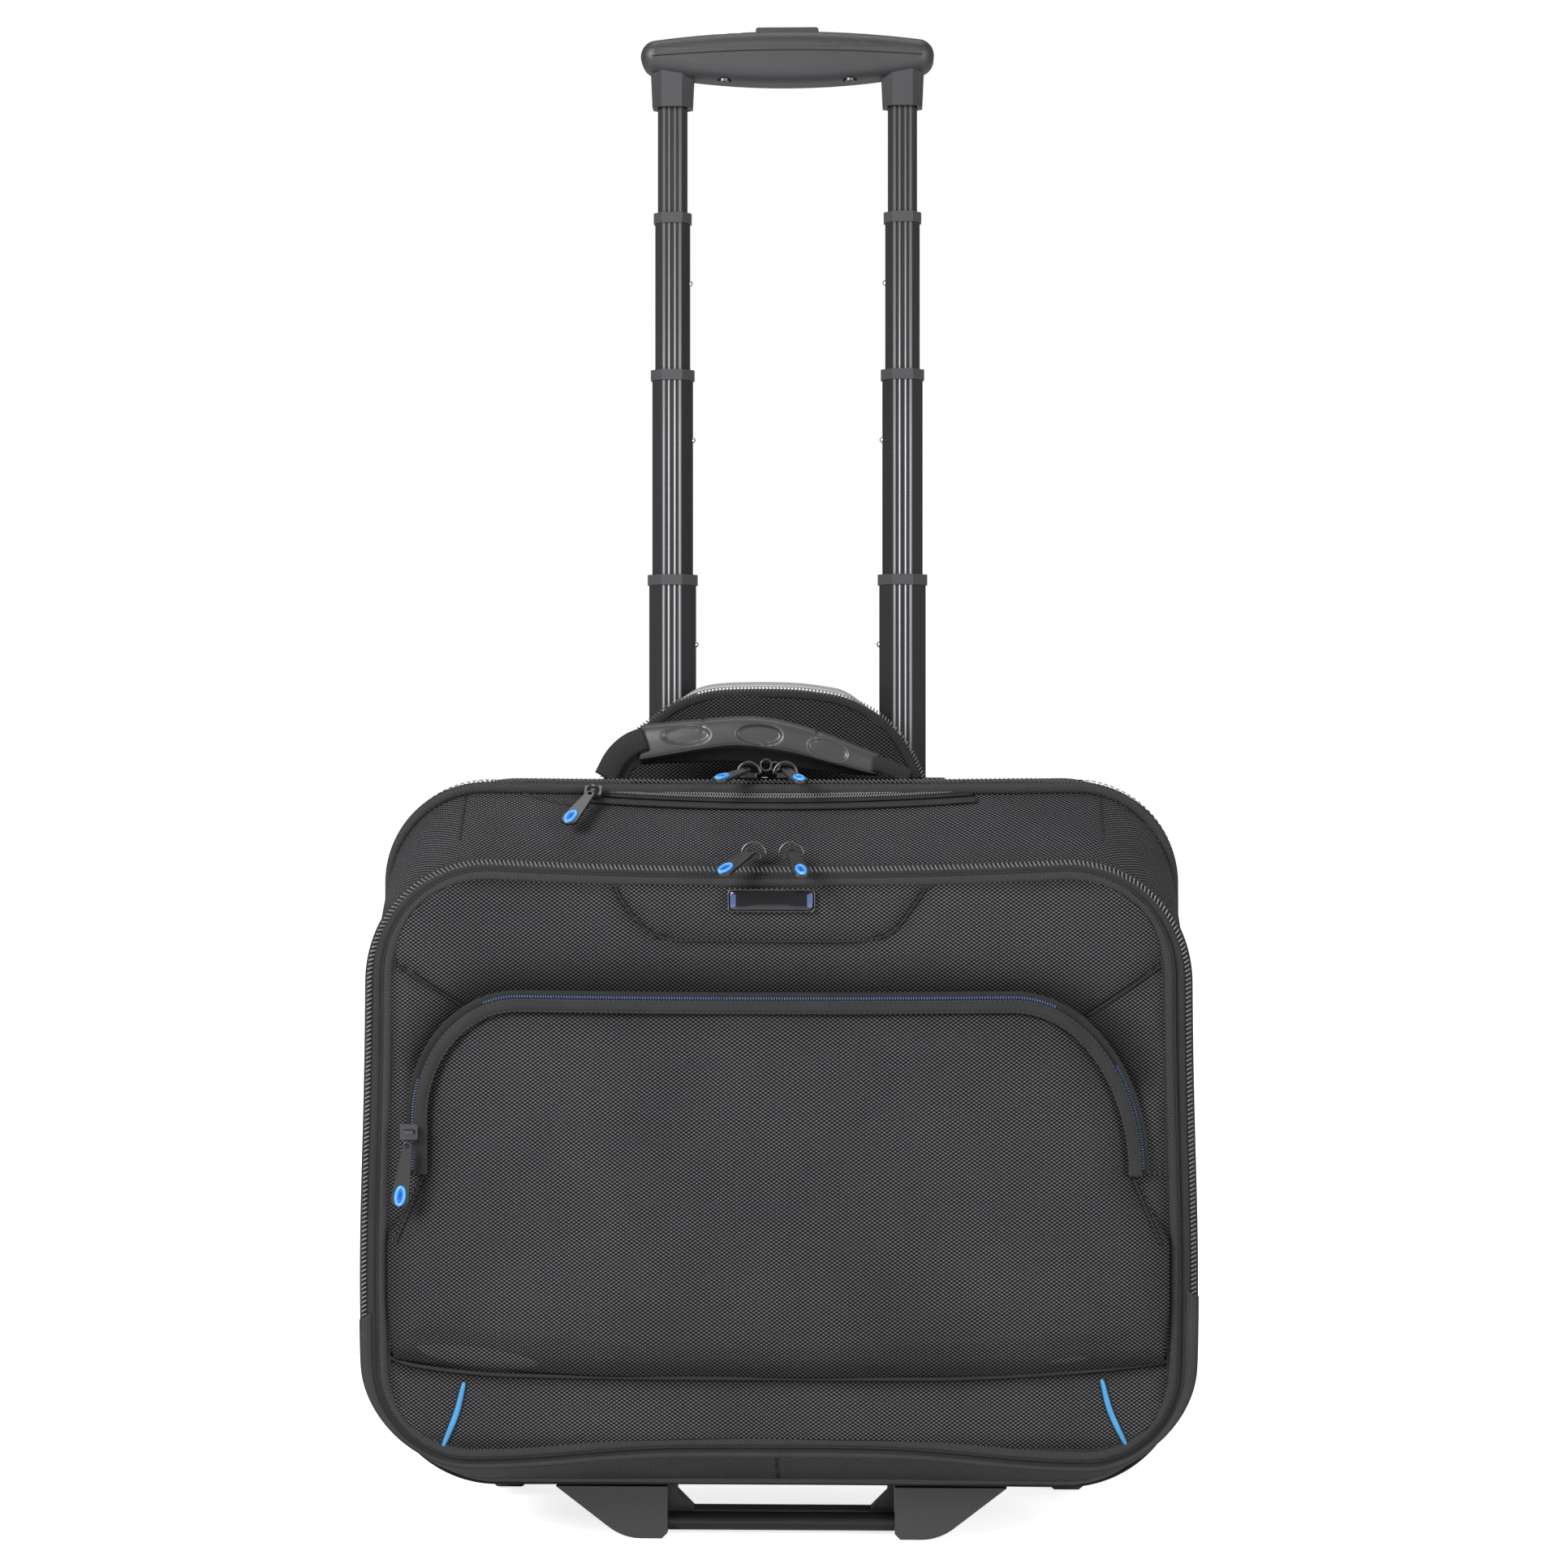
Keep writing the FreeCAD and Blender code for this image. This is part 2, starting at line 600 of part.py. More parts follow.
def grip_assembly():
    blank = solid("grip_blank", grip_blank())
    span = ("-grip_half - 5", "grip_half + 5")
    deep = ("handle_y - grip_depth", "handle_y + grip_depth")
    lower_half = common("grip_lower_half", blank,
                        block("below_parting", span, deep, ("socket_low - 5", "grip_parting - 0.05")))
    upper_half = common("grip_upper_half", blank,
                        block("above_parting", span, deep, ("grip_parting + 0.05", "grip_top + 9")))
    slot = block("button_slot", ("-button_half - 0.4", "button_half + 0.4"),
                 ("handle_y - 8.4", "handle_y + 8.4"), ("grip_parting - 5", "grip_top + 5"))
    keep(cut("grip_upper", upper_half, slot), "grip_upper_shell")
    channel = block("rod_channel", ("-tube_spread - 4", "tube_spread + 4"), ("handle_y - 3", "handle_y + 3"),
                    ("grip_parting - 8.6", "grip_parting + 1"))
    under = block("button_well", ("-button_half - 0.4", "button_half + 0.4"),
                  ("handle_y - 8.4", "handle_y + 8.4"), ("grip_parting - 5.6", "grip_parting + 1"))
    well = rod("spring_well", "4.6", "9", ("0", "handle_y", "grip_parting - 14"), (0, 0, 1))
    sockets = tube_openings("socket_mouth", "stage1_width", "0.1", "socket_low - 1", "stage1_top + 0.2")
    shafts = [rod("rod_shaft_%d" % s, "2.4", "14", ("%d * tube_spread" % s, "handle_y", "grip_parting - 17"),
                  (0, 0, 1)) for s in (-1, 1)]
    screw_pits = [rod("screw_pit_%d" % s, "4", "5", ("%d * 36" % s, "handle_y - 8", "grip_low - 2.4"),
                      (0, 0, 1)) for s in (-1, 1)]
    tools = fuse("grip_lower_tools", [channel, under, well, sockets] + shafts + screw_pits)
    keep(cut("grip_lower", lower_half, tools), "grip_lower_shell")
    keep(solid("grip_screw_pair", grip_screws()), "grip_screws")
    keep(solid("button_cap", button_cap()), "release_button")
    bar = block("yoke_bar", ("-tube_spread - 2", "tube_spread + 2"), ("handle_y - 2.2", "handle_y + 2.2"),
                ("grip_parting - 4", "grip_parting - 1"))
    rods = [rod("pull_rod_%d" % s, "1.6", "grip_parting - 2 - stage1_low - 5",
                ("%d * tube_spread" % s, "handle_y", "stage1_low + 5"), (0, 0, 1)) for s in (-1, 1)]
    keep(fuse("yoke", [bar] + rods), "release_rods")
    coil = rod("spring_outer", "4", "9.9", ("0", "handle_y", "grip_parting - 13.95"), (0, 0, 1))
    bore = rod("spring_bore", "3", "12", ("0", "handle_y", "grip_parting - 15"), (0, 0, 1))
    keep(cut("spring", coil, bore), "button_spring")


def grip_screws():
    """Two cross-head screws in the underside of the grip."""
    parts = []
    for side in (-1, 1):
        centre = Vector(side * 36, value("handle_y") - 8, value("grip_low") + 1.2)
        head = Part.makeCylinder(3.1, 1.3, centre)
        for across, along in ((3.8, 0.8), (0.8, 3.8)):
            corner = centre + Vector(-across / 2, -along / 2, -0.1)
            head = head.cut(Part.makeBox(across, along, 0.8, corner))
        parts.append(head)
    return Part.makeCompound(parts)


def button_cap():
    """Push button: rounded cap in the grip's top with a foot down to the yoke."""
    half = value("button_half")
    y = value("handle_y")
    base = value("grip_parting") - 0.9
    cap = Part.makeBox(2 * half, 16, value("button_top") - base, Vector(-half, y - 8, base))
    upper = [e for e in cap.Edges if e.BoundBox.ZMin > base + 1]
    return cap.makeFillet(2.2, upper)


# ---------------------------------------------------------------- top of the bag

def grab_handle():
    """Moulded carry grip that rises to the left, held by two webbing tails."""
    grip = new_body("grab_grip_body")
    points = [(-80, 428), (-66, 431), (-10, 429), (15, 424.5), (53, 412.8), (53, 421.5), (12, 436),
              (-10, 440), (-64, 440.8), (-80, 437)]
    extrude_front(grip, "grab_grip", points, "handle_y - 81", "handle_y - 66")
    grip = round_all(grip, "grab_grip_round", 3.2)
    keep(grip, "grab_grip")
    tails = []
    for name, points in (("left", [(-104, 409.6), (-91, 409.6), (-80.2, 428.5), (-80.2, 437)]),
                         ("right", [(60, 409.6), (73, 409.6), (53.2, 421), (53.2, 413.2)])):
        tail = new_body("grab_tail_" + name)
        extrude_front(tail, "tail_" + name, points, "handle_y - 81", "handle_y - 78.6")
        tails.append(tail)
    keep(fuse("grab_tails", tails), "grab_webbing")


def extrude_front(body, name, points, y_front, y_rear):
    sketch = new_sketch(body, name + "_outline", "XZ_Plane", "-(%s)" % y_rear)
    polygon(sketch, points)
    pad = body.newObject("PartDesign::Pad", name + "_pad")
    pad.Profile = sketch
    pad.setExpression("Length", bound("(%s) - (%s)" % (y_rear, y_front)))
    body.Tip = pad


def round_all(body, name, radius):
    doc.recompute()
    edges = [e for e in body.Shape.Edges if e.BoundBox.YLength < 0.01]
    return solid(name, body.Shape.makeFillet(radius, edges))


HOOD_EDGE = [(-104, 409.4), (-97.5, 423), (-86.2, 434.1), (-64, 450.8), (-39.6, 458), (2.6, 458.5),
             (35.9, 453.5), (52.5, 445.2), (63.6, 435.2), (71.4, 424.1), (79, 409.4)]
HOOD_MIDDLE = -10.0
HOOD_BASE = 408.0
HOOD_WALL_X = 0.965
HOOD_WALL_Z = 0.94


def hood():
    """Arched hood over the lowered handle, open at its back and bottom."""
    inside = [(HOOD_MIDDLE + (x - HOOD_MIDDLE) * HOOD_WALL_X, HOOD_BASE + (z - HOOD_BASE) * HOOD_WALL_Z)
              for x, z in HOOD_EDGE]
    shell = new_body("hood_body")
    extrude_front(shell, "hood", HOOD_EDGE, "handle_y - 36", "handle_y - 15.2")
    core = new_body("hood_core")
    extrude_front(core, "hood_inside", inside, "handle_y - 33", "handle_y - 12")
    keep(cut("hood_cut", shell, core), "hood_shell")


# ---------------------------------------------------------------- stand and wheels

def stand():
    for side, name in ((-1, "left"), (1, "right")):
        leg = new_body("leg_" + name)
        sign = "-" if side < 0 else ""
        points = [("leg_inner + 3", "0"), ("leg_foot", "0"), ("leg_outer", "bag_floor - 0.1"),
                  ("leg_inner", "bag_floor - 0.1"), ("leg_inner", "3")]
        extrude_front(leg, "leg_%s_profile" % name, [("%s(%s)" % (sign, x), z) for x, z in points],
                      "stand_front", "stand_rear")
        doc.recompute()
        pad = leg.Tip
        corner = edge_near(pad.Shape, side * value("leg_foot"), 0)
        fillet = leg.newObject("PartDesign::Fillet", "leg_%s_round" % name)
        fillet.Base = (pad, [corner])
        fillet.setExpression("Radius", bound("leg_round"))
        leg.Tip = fillet
        keep(leg, "stand_leg_" + name)
    keep(rod("stand_bar_rod", "bar_radius", "2 * leg_inner - 0.1",
             ("-leg_inner + 0.05", "stand_front + 12", "bar_height"), (1, 0, 0)), "stand_bar")
    tray = new_body("tray")
    inner = "leg_inner - 4"
    points = [("-leg_inner + 0.1", "tray_low"), ("leg_inner - 0.1", "tray_low"),
              ("leg_inner - 0.1", "bag_floor - 0.1"), (inner, "bag_floor - 0.1"),
              (inner, "tray_top + 9"), ("leg_inner - 13", "tray_top"), ("-(leg_inner - 13)", "tray_top"),
              ("-(%s)" % inner, "tray_top + 9"), ("-(%s)" % inner, "bag_floor - 0.1"),
              ("-leg_inner + 0.1", "bag_floor - 0.1")]
    extrude_front(tray, "tray_profile", points, "stand_rear - 14", "stand_rear")
    keep(tray, "stand_tray")


def edge_near(shape, x, z):
    """Name of the edge along Y that passes closest to a point of the front view."""
    best = None
    for number, edge in enumerate(shape.Edges, start=1):
        box = edge.BoundBox
        if box.XLength > 0.01 or box.ZLength > 0.01:
            continue
        distance = math.hypot(box.XMin - x, box.ZMin - z)
        if best is None or distance < best[0]:
            best = (distance, "Edge%d" % number)
    return best[1]


def wheels():
    axles = []
    outer = "wheel_width / 2 + housing_wall + 1.2"
    for side, name in ((-1, "left"), (1, "right")):
        centre = "%d * wheel_x" % side
        case = block("housing_block_" + name, ("%s - (%s)" % (centre, outer), "%s + (%s)" % (centre, outer)),
                     ("back_plane - 58", "back_plane + 6"), ("14", "2 * wheel_radius + 8"))
        room = rod("housing_room_" + name, "wheel_radius + 3", "wheel_width + 2.4",
                   ("%s - wheel_width / 2 - 1.2" % centre, "wheel_y", "wheel_radius"), (1, 0, 0))
        bore = rod("housing_bore_" + name, "axle_radius + run_clearance", "60",
                   ("%s - 30" % centre, "wheel_y", "wheel_radius"), (1, 0, 0))
        keep(cut("housing_cut_" + name, case, fuse("housing_tools_" + name, [room, bore])),
             "wheel_housing_" + name)
        axles.append(rod("axle_" + name, "axle_radius", "2 * (%s)" % outer,
                         ("%s - (%s)" % (centre, outer), "wheel_y", "wheel_radius"), (1, 0, 0)))
        revolved_wheel(name, side)
    keep(fuse("axle_pair", axles), "wheel_axles")


def revolved_wheel(name, side):
    """Soft tyre with a crowned tread on a spoked hub."""
    half = value("wheel_width") / 2
    radius = value("wheel_radius")
    rim = radius - 7
    centre = Vector(side * value("wheel_x"), value("wheel_y"), radius)
    section = [(rim, -half), (radius - 3, -half), (radius, -half + 4), (radius, half - 4),
               (radius - 3, half), (rim, half)]
    tyre = turned(section, centre)
    hub = turned([(value("axle_radius") + value("run_clearance"), -half), (rim - 0.05, -half),
                  (rim - 0.05, half), (value("axle_radius") + value("run_clearance"), half)], centre)
    for k in range(6):
        angle = k * math.pi / 3
        spot = centre + Vector(-half - 1, 13 * math.cos(angle), 13 * math.sin(angle))
        hub = hub.cut(Part.makeCylinder(3.6, 6, spot, Vector(1, 0, 0)))
        spot = centre + Vector(half + 1, 13 * math.cos(angle), 13 * math.sin(angle))
        hub = hub.cut(Part.makeCylinder(3.6, 6, spot, Vector(-1, 0, 0)))
    keep(solid("tyre_" + name, tyre), "wheel_tyre_" + name)
    keep(solid("hub_" + name, hub), "wheel_hub_" + name)


def turned(section, centre):
    """Revolves (radius, offset along X) points about the wheel's axle."""
    points = [centre + Vector(along, 0, r) for r, along in section]
    face = Part.Face(Part.makePolygon(points + [points[0]]))
    return face.revolve(centre, Vector(1, 0, 0), 360)


# ---------------------------------------------------------------- sliders and pullers

SMALL_BAIL = 3.4
LARGE_BAIL = 6.8
BAIL_RIM = 1.5
BAIL_THICK = 1.8
SLIDER_TOP = 2.1


def half_disc(radius, thick, base):
    """Upper half of a short cylinder that stands across the slider at a height."""
    disc = Part.makeCylinder(radius, thick, Vector(0, -thick / 2, SLIDER_TOP), Vector(0, 1, 0))
    return disc.common(Part.makeBox(2 * radius + 2, thick + 2, radius + 2,
                                    Vector(-radius - 1, -thick / 2 - 1, base)))


def slider_blank(bail):
    """Zip slider on its own axes: body with a shoulder and an arched bail on top."""
    base = Part.makeBox(9, 8, 2.2, Vector(-4.5, -4, 0))
    base = base.makeFillet(0.9, [e for e in base.Edges if e.BoundBox.ZLength > 2])
    arch = half_disc(bail, BAIL_THICK, SLIDER_TOP)
    eye = half_disc(bail - BAIL_RIM, BAIL_THICK + 1.2, SLIDER_TOP + 0.5)
    return base.fuse(arch).cut(eye).removeSplitter()


def puller_blank(length):
    """Pull tab on its own axes: hangs along -Y from its eye, rounded and recessed at the tip."""
    tip = 4.6
    eye = 2.6
    last = -length + tip
    angle = math.asin((tip - eye) / (length - tip))

    def on(radius, centre, turn):
        return Vector(radius * math.cos(turn), centre + radius * math.sin(turn), 0)

    edges = [Part.Arc(on(eye, -eye, angle), Vector(0, 0, 0), on(eye, -eye, math.pi - angle)),
             Part.LineSegment(on(eye, -eye, math.pi - angle), on(tip, last, math.pi - angle)),
             Part.Arc(on(tip, last, math.pi - angle), Vector(0, -length, 0), on(tip, last, angle)),
             Part.LineSegment(on(tip, last, angle), on(eye, -eye, angle))]
    tab = Part.Face(Part.Wire([e.toShape() for e in edges])).extrude(Vector(0, 0, 2))
    tab = tab.makeFillet(0.5, [e for e in tab.Edges if e.BoundBox.ZLength < 0.01])
    tab = tab.cut(Part.makeCylinder(1.3, 4, Vector(0, -eye, -1)))
    return tab.cut(Part.makeCylinder(2.9, 2, Vector(0, last, 1.2)))


def zip_pull(name, seat, pitch, yaw, swing, length=30, bail=SMALL_BAIL):
    """One slider and its puller: pitch leans the slider's top forward, swing lays the puller."""
    lean = Rotation(Vector(1, 0, 0), pitch)
    turn = Rotation(Vector(0, 0, 1), yaw)
    slider = solid(name + "_slider_solid", slider_blank(bail))
    slider.Placement = Placement(Vector(*seat), lean)
    keep(slider, name + "_slider")
    drop = Rotation(Vector(1, 0, 0), swing)
    hinge = lean.multVec(Vector(0, -4.4, 3.4))
    puller = solid(name + "_puller_solid", puller_blank(length))
    puller.Placement = Placement(Vector(*seat) + hinge, lean * drop * turn)
    keep(puller, name + "_puller")


def all_zip_pulls():
    top = value("bag_top") + 0.4
    main_y = value("divider_plane") - 2
    front_y = value("front_plane") + 3.6
    front_z = value("front_top") + 2.4
    slope = 38.0
    down = math.radians(slope)
    face_y = value("divider_plane") - 14
    face_z = value("bag_top") - 2 - (14 - 4) * math.tan(down)
    lift = 2.4
    pocket_face = value("front_plane") - 3.3 - value("pocket_depth") - 1.6
    zip_pull("main_left", (-17, main_y, top), 0, -33, 14, bail=LARGE_BAIL)
    zip_pull("main_right", (2.5, main_y, top), 0, 19, 14, bail=LARGE_BAIL)
    zip_pull("front_left", (-12.5, front_y, front_z), 0, -34, 29, bail=LARGE_BAIL)
    zip_pull("front_right", (7, front_y, front_z), 0, 13, 25, 31.1, LARGE_BAIL)
    zip_pull("top_pocket", (-99.4, face_y - lift * math.sin(down), face_z + lift * math.cos(down)),
             slope, -24, 0)
    zip_pull("pocket", (-189.3, pocket_face, 226), 90, -8, 0, 34)
    strip = doc.addObject("Part::Box", "top_zip_strip")
    strip.Length = 200
    strip.Width = 6
    strip.Height = 1.6
    strip.Placement = Placement(Vector(-98, face_y, face_z) + Vector(0, -3 * math.cos(down), -3 * math.sin(down))
                                + Vector(0, -0.4 * math.sin(down), 0.4 * math.cos(down)),
                                Rotation(Vector(1, 0, 0), slope))
    keep(strip, "top_pocket_zip")


# ---------------------------------------------------------------- build, check, write

main_compartment()
front_compartment()
front_flap()
telescopic_stages()
bezel_and_bracket()
grip_assembly()
grab_handle()
hood()
stand()
wheels()
all_zip_pulls()
doc.recompute()

for item in doc.Objects:
    if "Invalid" in item.State or "Error" in item.State:
        raise RuntimeError("%s is %s" % (item.Label, item.State))
os.makedirs("parts", exist_ok=True)
whole = FreeCAD.BoundBox()
for label, item in PARTS:
    shape = item.Shape
    if shape.isNull() or not shape.isValid() or shape.Volume <= 0:
        raise RuntimeError("%s has no valid solid" % label)
    whole.add(shape.BoundBox)
    shape.exportStep("parts/%s.step" % label)
print(len(PARTS), "parts", whole)
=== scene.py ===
"""Looks of the pilot rolling flight case: fabric, zips, piping, seams, materials, light and camera.

Metres. +X is to the right seen from the front, +Y to the back, +Z up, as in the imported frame.
"""
import json
import math
import bmesh
import bpy
import numpy as np
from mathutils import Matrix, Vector
from mathutils.bvhtree import BVHTree


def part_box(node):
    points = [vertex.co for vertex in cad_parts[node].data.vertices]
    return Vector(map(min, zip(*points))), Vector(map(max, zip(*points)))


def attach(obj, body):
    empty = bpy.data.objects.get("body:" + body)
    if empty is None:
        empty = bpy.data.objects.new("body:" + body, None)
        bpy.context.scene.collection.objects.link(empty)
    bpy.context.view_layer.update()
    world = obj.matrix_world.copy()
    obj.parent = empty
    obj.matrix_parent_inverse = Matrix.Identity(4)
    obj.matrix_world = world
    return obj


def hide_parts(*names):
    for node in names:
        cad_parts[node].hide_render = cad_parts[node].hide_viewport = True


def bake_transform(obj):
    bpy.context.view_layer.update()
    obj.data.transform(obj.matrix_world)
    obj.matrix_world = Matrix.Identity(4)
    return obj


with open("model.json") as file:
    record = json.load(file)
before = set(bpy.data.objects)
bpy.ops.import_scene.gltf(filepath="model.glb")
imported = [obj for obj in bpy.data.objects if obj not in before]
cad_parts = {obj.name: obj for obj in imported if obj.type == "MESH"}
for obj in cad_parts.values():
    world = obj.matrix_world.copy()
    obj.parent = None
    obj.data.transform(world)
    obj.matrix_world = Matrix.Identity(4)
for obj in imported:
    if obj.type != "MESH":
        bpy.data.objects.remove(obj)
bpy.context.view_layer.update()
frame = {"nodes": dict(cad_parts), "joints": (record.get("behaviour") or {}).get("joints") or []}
MM = 0.001
FORWARD = (0, -1, 0)
SLOPE_OUT = np.array([0, -0.616, 0.788])
SLOPE_UP = np.array([0, 0.788, 0.616])

# thickness of each layer of cloth
CLOTH = 2.4 * MM
BACK_CLOTH = 2.2 * MM
HOOD_CLOTH = 1.6 * MM
BOOT_CLOTH = 1.4 * MM
LINING_CLOTH = 1.0 * MM

# zip teeth and stitches in millimetres: pitch, length, radius
FRONT_TEETH = (2.3, 3.3, 0.48)
MAIN_TEETH = (2.4, 3.6, 0.52)
HOOD_TEETH = (2.0, 2.8, 0.45)
POCKET_TEETH = (1.35, 1.6, 0.38)
TOP_TEETH = (1.4, 2.2, 0.42)
SEAM_STITCH = (3.0, 2.1, 0.24)
BAND_STITCH = (2.6, 1.9, 0.26)
GUSSET_STITCH = (3.4, 2.3, 0.26)

BAG_MIDDLE = np.array([0.0, 0.21])

# ---------------------------------------------------------------- places taken from the frame


def corners(node):
    low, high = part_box(node)
    return np.array(low), np.array(high)


PIPE_LOW, PIPE_HIGH = corners("front_piping")
SHELL_LOW, SHELL_HIGH = corners("main_shell")
FRONT_Y = (PIPE_LOW[1] + PIPE_HIGH[1]) / 2
DIVIDE_Y = SHELL_LOW[1]
BACK_Y = corners("back_panel")[1][1]
BAG_TOP = SHELL_HIGH[2]
BAG_LOW = SHELL_LOW[2]
BAG_HALF = SHELL_HIGH[0]
PIPE_R = (PIPE_HIGH[1] - PIPE_LOW[1]) / 2
FRONT_HALF = PIPE_HIGH[0] - PIPE_R
FRONT_TOP = PIPE_HIGH[2] - PIPE_R
FRONT_LOW = corners("front_lower_panel")[0][2] + 2 * MM
TUBE_X = (corners("tubes_stage_4")[1][0] + corners("tubes_stage_1")[1][0]) / 2 - (13.3 + 8.4) / 2 * MM

# ---------------------------------------------------------------- outlines


def smooth(x, low, high):
    t = np.clip((x - low) / (high - low), 0, 1)
    return t * t * (3 - 2 * t)


def rounded(half, low, high, r_low, r_high, count=720):
    """Closed rounded rectangle in X and Z from the bottom centre, up the right side first."""
    quarter = np.linspace(0, math.pi / 2, 60)
    run = [(np.linspace(0, half - r_low, 40), np.full(40, low))]
    run.append((half - r_low + r_low * np.sin(quarter), low + r_low - r_low * np.cos(quarter)))
    run.append((np.full(40, half), np.linspace(low + r_low, high - r_high, 40)))
    run.append((half - r_high + r_high * np.cos(quarter), high - r_high + r_high * np.sin(quarter)))
    run.append((np.linspace(half - r_high, 0, 40), np.full(40, high)))
    x = np.concatenate([a for a, _ in run])
    z = np.concatenate([b for _, b in run])
    x = np.concatenate([x, -x[::-1]])
    z = np.concatenate([z, z[::-1]])
    return resample(np.stack([x, z], 1), count, closed=True)


def resample(points, count, closed=False):
    """Points at equal steps along a chain."""
    step = np.linalg.norm(np.diff(points, axis=0), axis=1)
    along = np.concatenate([[0], np.cumsum(step)])
    goal = np.linspace(0, along[-1], count, endpoint=not closed)
    return np.stack([np.interp(goal, along, points[:, k]) for k in range(points.shape[1])], 1)


def settle(points, half, low, high, sag, lift, swell):
    """Lets an outline hang: the top edge sags, the bottom edge arches, the sides swell low down."""
    x, z = points[:, 0].copy(), points[:, 1].copy()
    middle = (low + high) / 2
    across = np.clip(1 - (x / half) ** 2, 0, 1)
    top = smooth(z, middle, high) * across
    bottom = (1 - smooth(z, low, middle)) * np.exp(-(x / (0.55 * half)) ** 4)
    side = np.exp(-((z - low - 0.3 * (high - low)) / (0.3 * (high - low))) ** 2)
    x += np.sign(x) * swell * side * smooth(np.abs(x), 0.3 * half, half)
    z += lift * bottom - sag * top
    return np.stack([x, z], 1)


def front_outline(grow=0.0, grow_top=None):
    """The front panel's edge, moved outwards by grow."""
    up = grow if grow_top is None else grow_top
    points = rounded(FRONT_HALF + grow, FRONT_LOW - grow, FRONT_TOP + up, 44 * MM + grow, 55 * MM + grow)
    return settle(points, FRONT_HALF, FRONT_LOW, FRONT_TOP, 7 * MM, 7 * MM, 3 * MM)


def rear_outline(grow=0.0):
    """The bag's edge at the divider."""
    points = rounded(BAG_HALF - 3 * MM + grow, BAG_LOW + 1.5 * MM - grow, BAG_TOP - 1.5 * MM + grow,
                     60 * MM + grow, 54 * MM + grow)
    return settle(points, BAG_HALF, BAG_LOW, BAG_TOP, 2 * MM, 0.5 * MM, 5 * MM)


# ---------------------------------------------------------------- mesh tools


def vertex_places(item):
    coords = np.empty(len(item.data.vertices) * 3)
    item.data.vertices.foreach_get("co", coords)
    return coords.reshape(-1, 3)


def store_painted_shade(item, depth_at):
    """Stores painted shade for the cloth's folds as the mesh attribute 'fold', from a function of x and z."""
    coords = vertex_places(item)
    layer = item.data.attributes.new("fold", "FLOAT", "POINT")
    layer.data.foreach_set("value", np.clip(depth_at(coords[:, 0], coords[:, 2]), 0, 0.85))


def new_piece(name, vertices, faces, material):
    mesh = bpy.data.meshes.new(name)
    mesh.from_pydata([tuple(v) for v in vertices], [], [tuple(f) for f in faces])
    mesh.validate()
    bm = bmesh.new()
    bm.from_mesh(mesh)
    bmesh.ops.recalc_face_normals(bm, faces=bm.faces)
    bm.to_mesh(mesh)
    bm.free()
    mesh.polygons.foreach_set("use_smooth", [True] * len(mesh.polygons))
    mesh.materials.append(material)
    item = bpy.data.objects.new(name, mesh)
    bpy.context.collection.objects.link(item)
    return item


def grid_faces(rows, columns, wrap_columns=False, wrap_rows=False):
    faces = []
    for i in range(rows if wrap_rows else rows - 1):
        a = i * columns
        b = (i + 1) % rows * columns
        for j in range(columns if wrap_columns else columns - 1):
            k = (j + 1) % columns
            faces.append((a + j, a + k, b + k, b + j))
    return faces


def end_faces(rows, columns):
    """The two faces that close the ends of a tube of rings."""
    return [tuple(range(columns)), tuple(reversed(range((rows - 1) * columns, rows * columns)))]


def thicken(item, depth, offset=-1.0):
    solid = item.modifiers.new("thickness", "SOLIDIFY")
    solid.thickness = depth
    solid.offset = offset
    apply_modifiers(item)
    return item


def apply_modifiers(item):
    bpy.context.view_layer.update()
    graph = bpy.context.evaluated_depsgraph_get()
    mesh = bpy.data.meshes.new_from_object(item.evaluated_get(graph))
    item.modifiers.clear()
    item.data = mesh


def frames_along(path, outward, closed):
    """Tangent, side and front vectors along a path; side points away from outward's centre."""
    path = np.asarray(path)
    if closed:
        tangent = np.roll(path, -1, 0) - np.roll(path, 1, 0)
    else:
        tangent = np.gradient(path, axis=0)
    tangent /= np.linalg.norm(tangent, axis=1)[:, None] + 1e-12
    face = np.asarray(outward, float)
    if face.ndim == 1:
        face = np.repeat(face[None], len(path), 0)
    side = np.cross(tangent, face)
    side /= np.linalg.norm(side, axis=1)[:, None] + 1e-12
    face = np.cross(side, tangent)
    return tangent, side, face


def sweep(name, path, section, material, outward=FORWARD, closed=False):
    """Carries a section of (side, front) offsets along a path."""
    path = np.asarray(path)
    _, side, face = frames_along(path, outward, closed)
    section = np.asarray(section)
    vertices = (path[:, None] + side[:, None] * section[None, :, 0:1] + face[:, None] * section[None, :, 1:2])
    rows, columns = vertices.shape[:2]
    faces = grid_faces(rows, columns, wrap_columns=True, wrap_rows=closed)
    if not closed:
        faces += end_faces(rows, columns)
    return new_piece(name, vertices.reshape(-1, 3), faces, material)


def circle_section(radius, count=12, squash=1.0):
    turn = np.linspace(0, 2 * math.pi, count, endpoint=False)
    return np.stack([radius * np.cos(turn), radius * squash * np.sin(turn)], 1)


def strip_section(width, depth, crown=0.0):
    """Flat tape of a width, with a slightly crowned front."""
    across = np.linspace(-0.5, 0.5, 7)
    front = depth / 2 + crown * (1 - (2 * across) ** 2)
    top = np.stack([across * width, front], 1)
    back = np.array([[0.5 * width, -depth / 2], [-0.5 * width, -depth / 2]])
    return np.concatenate([top, back])


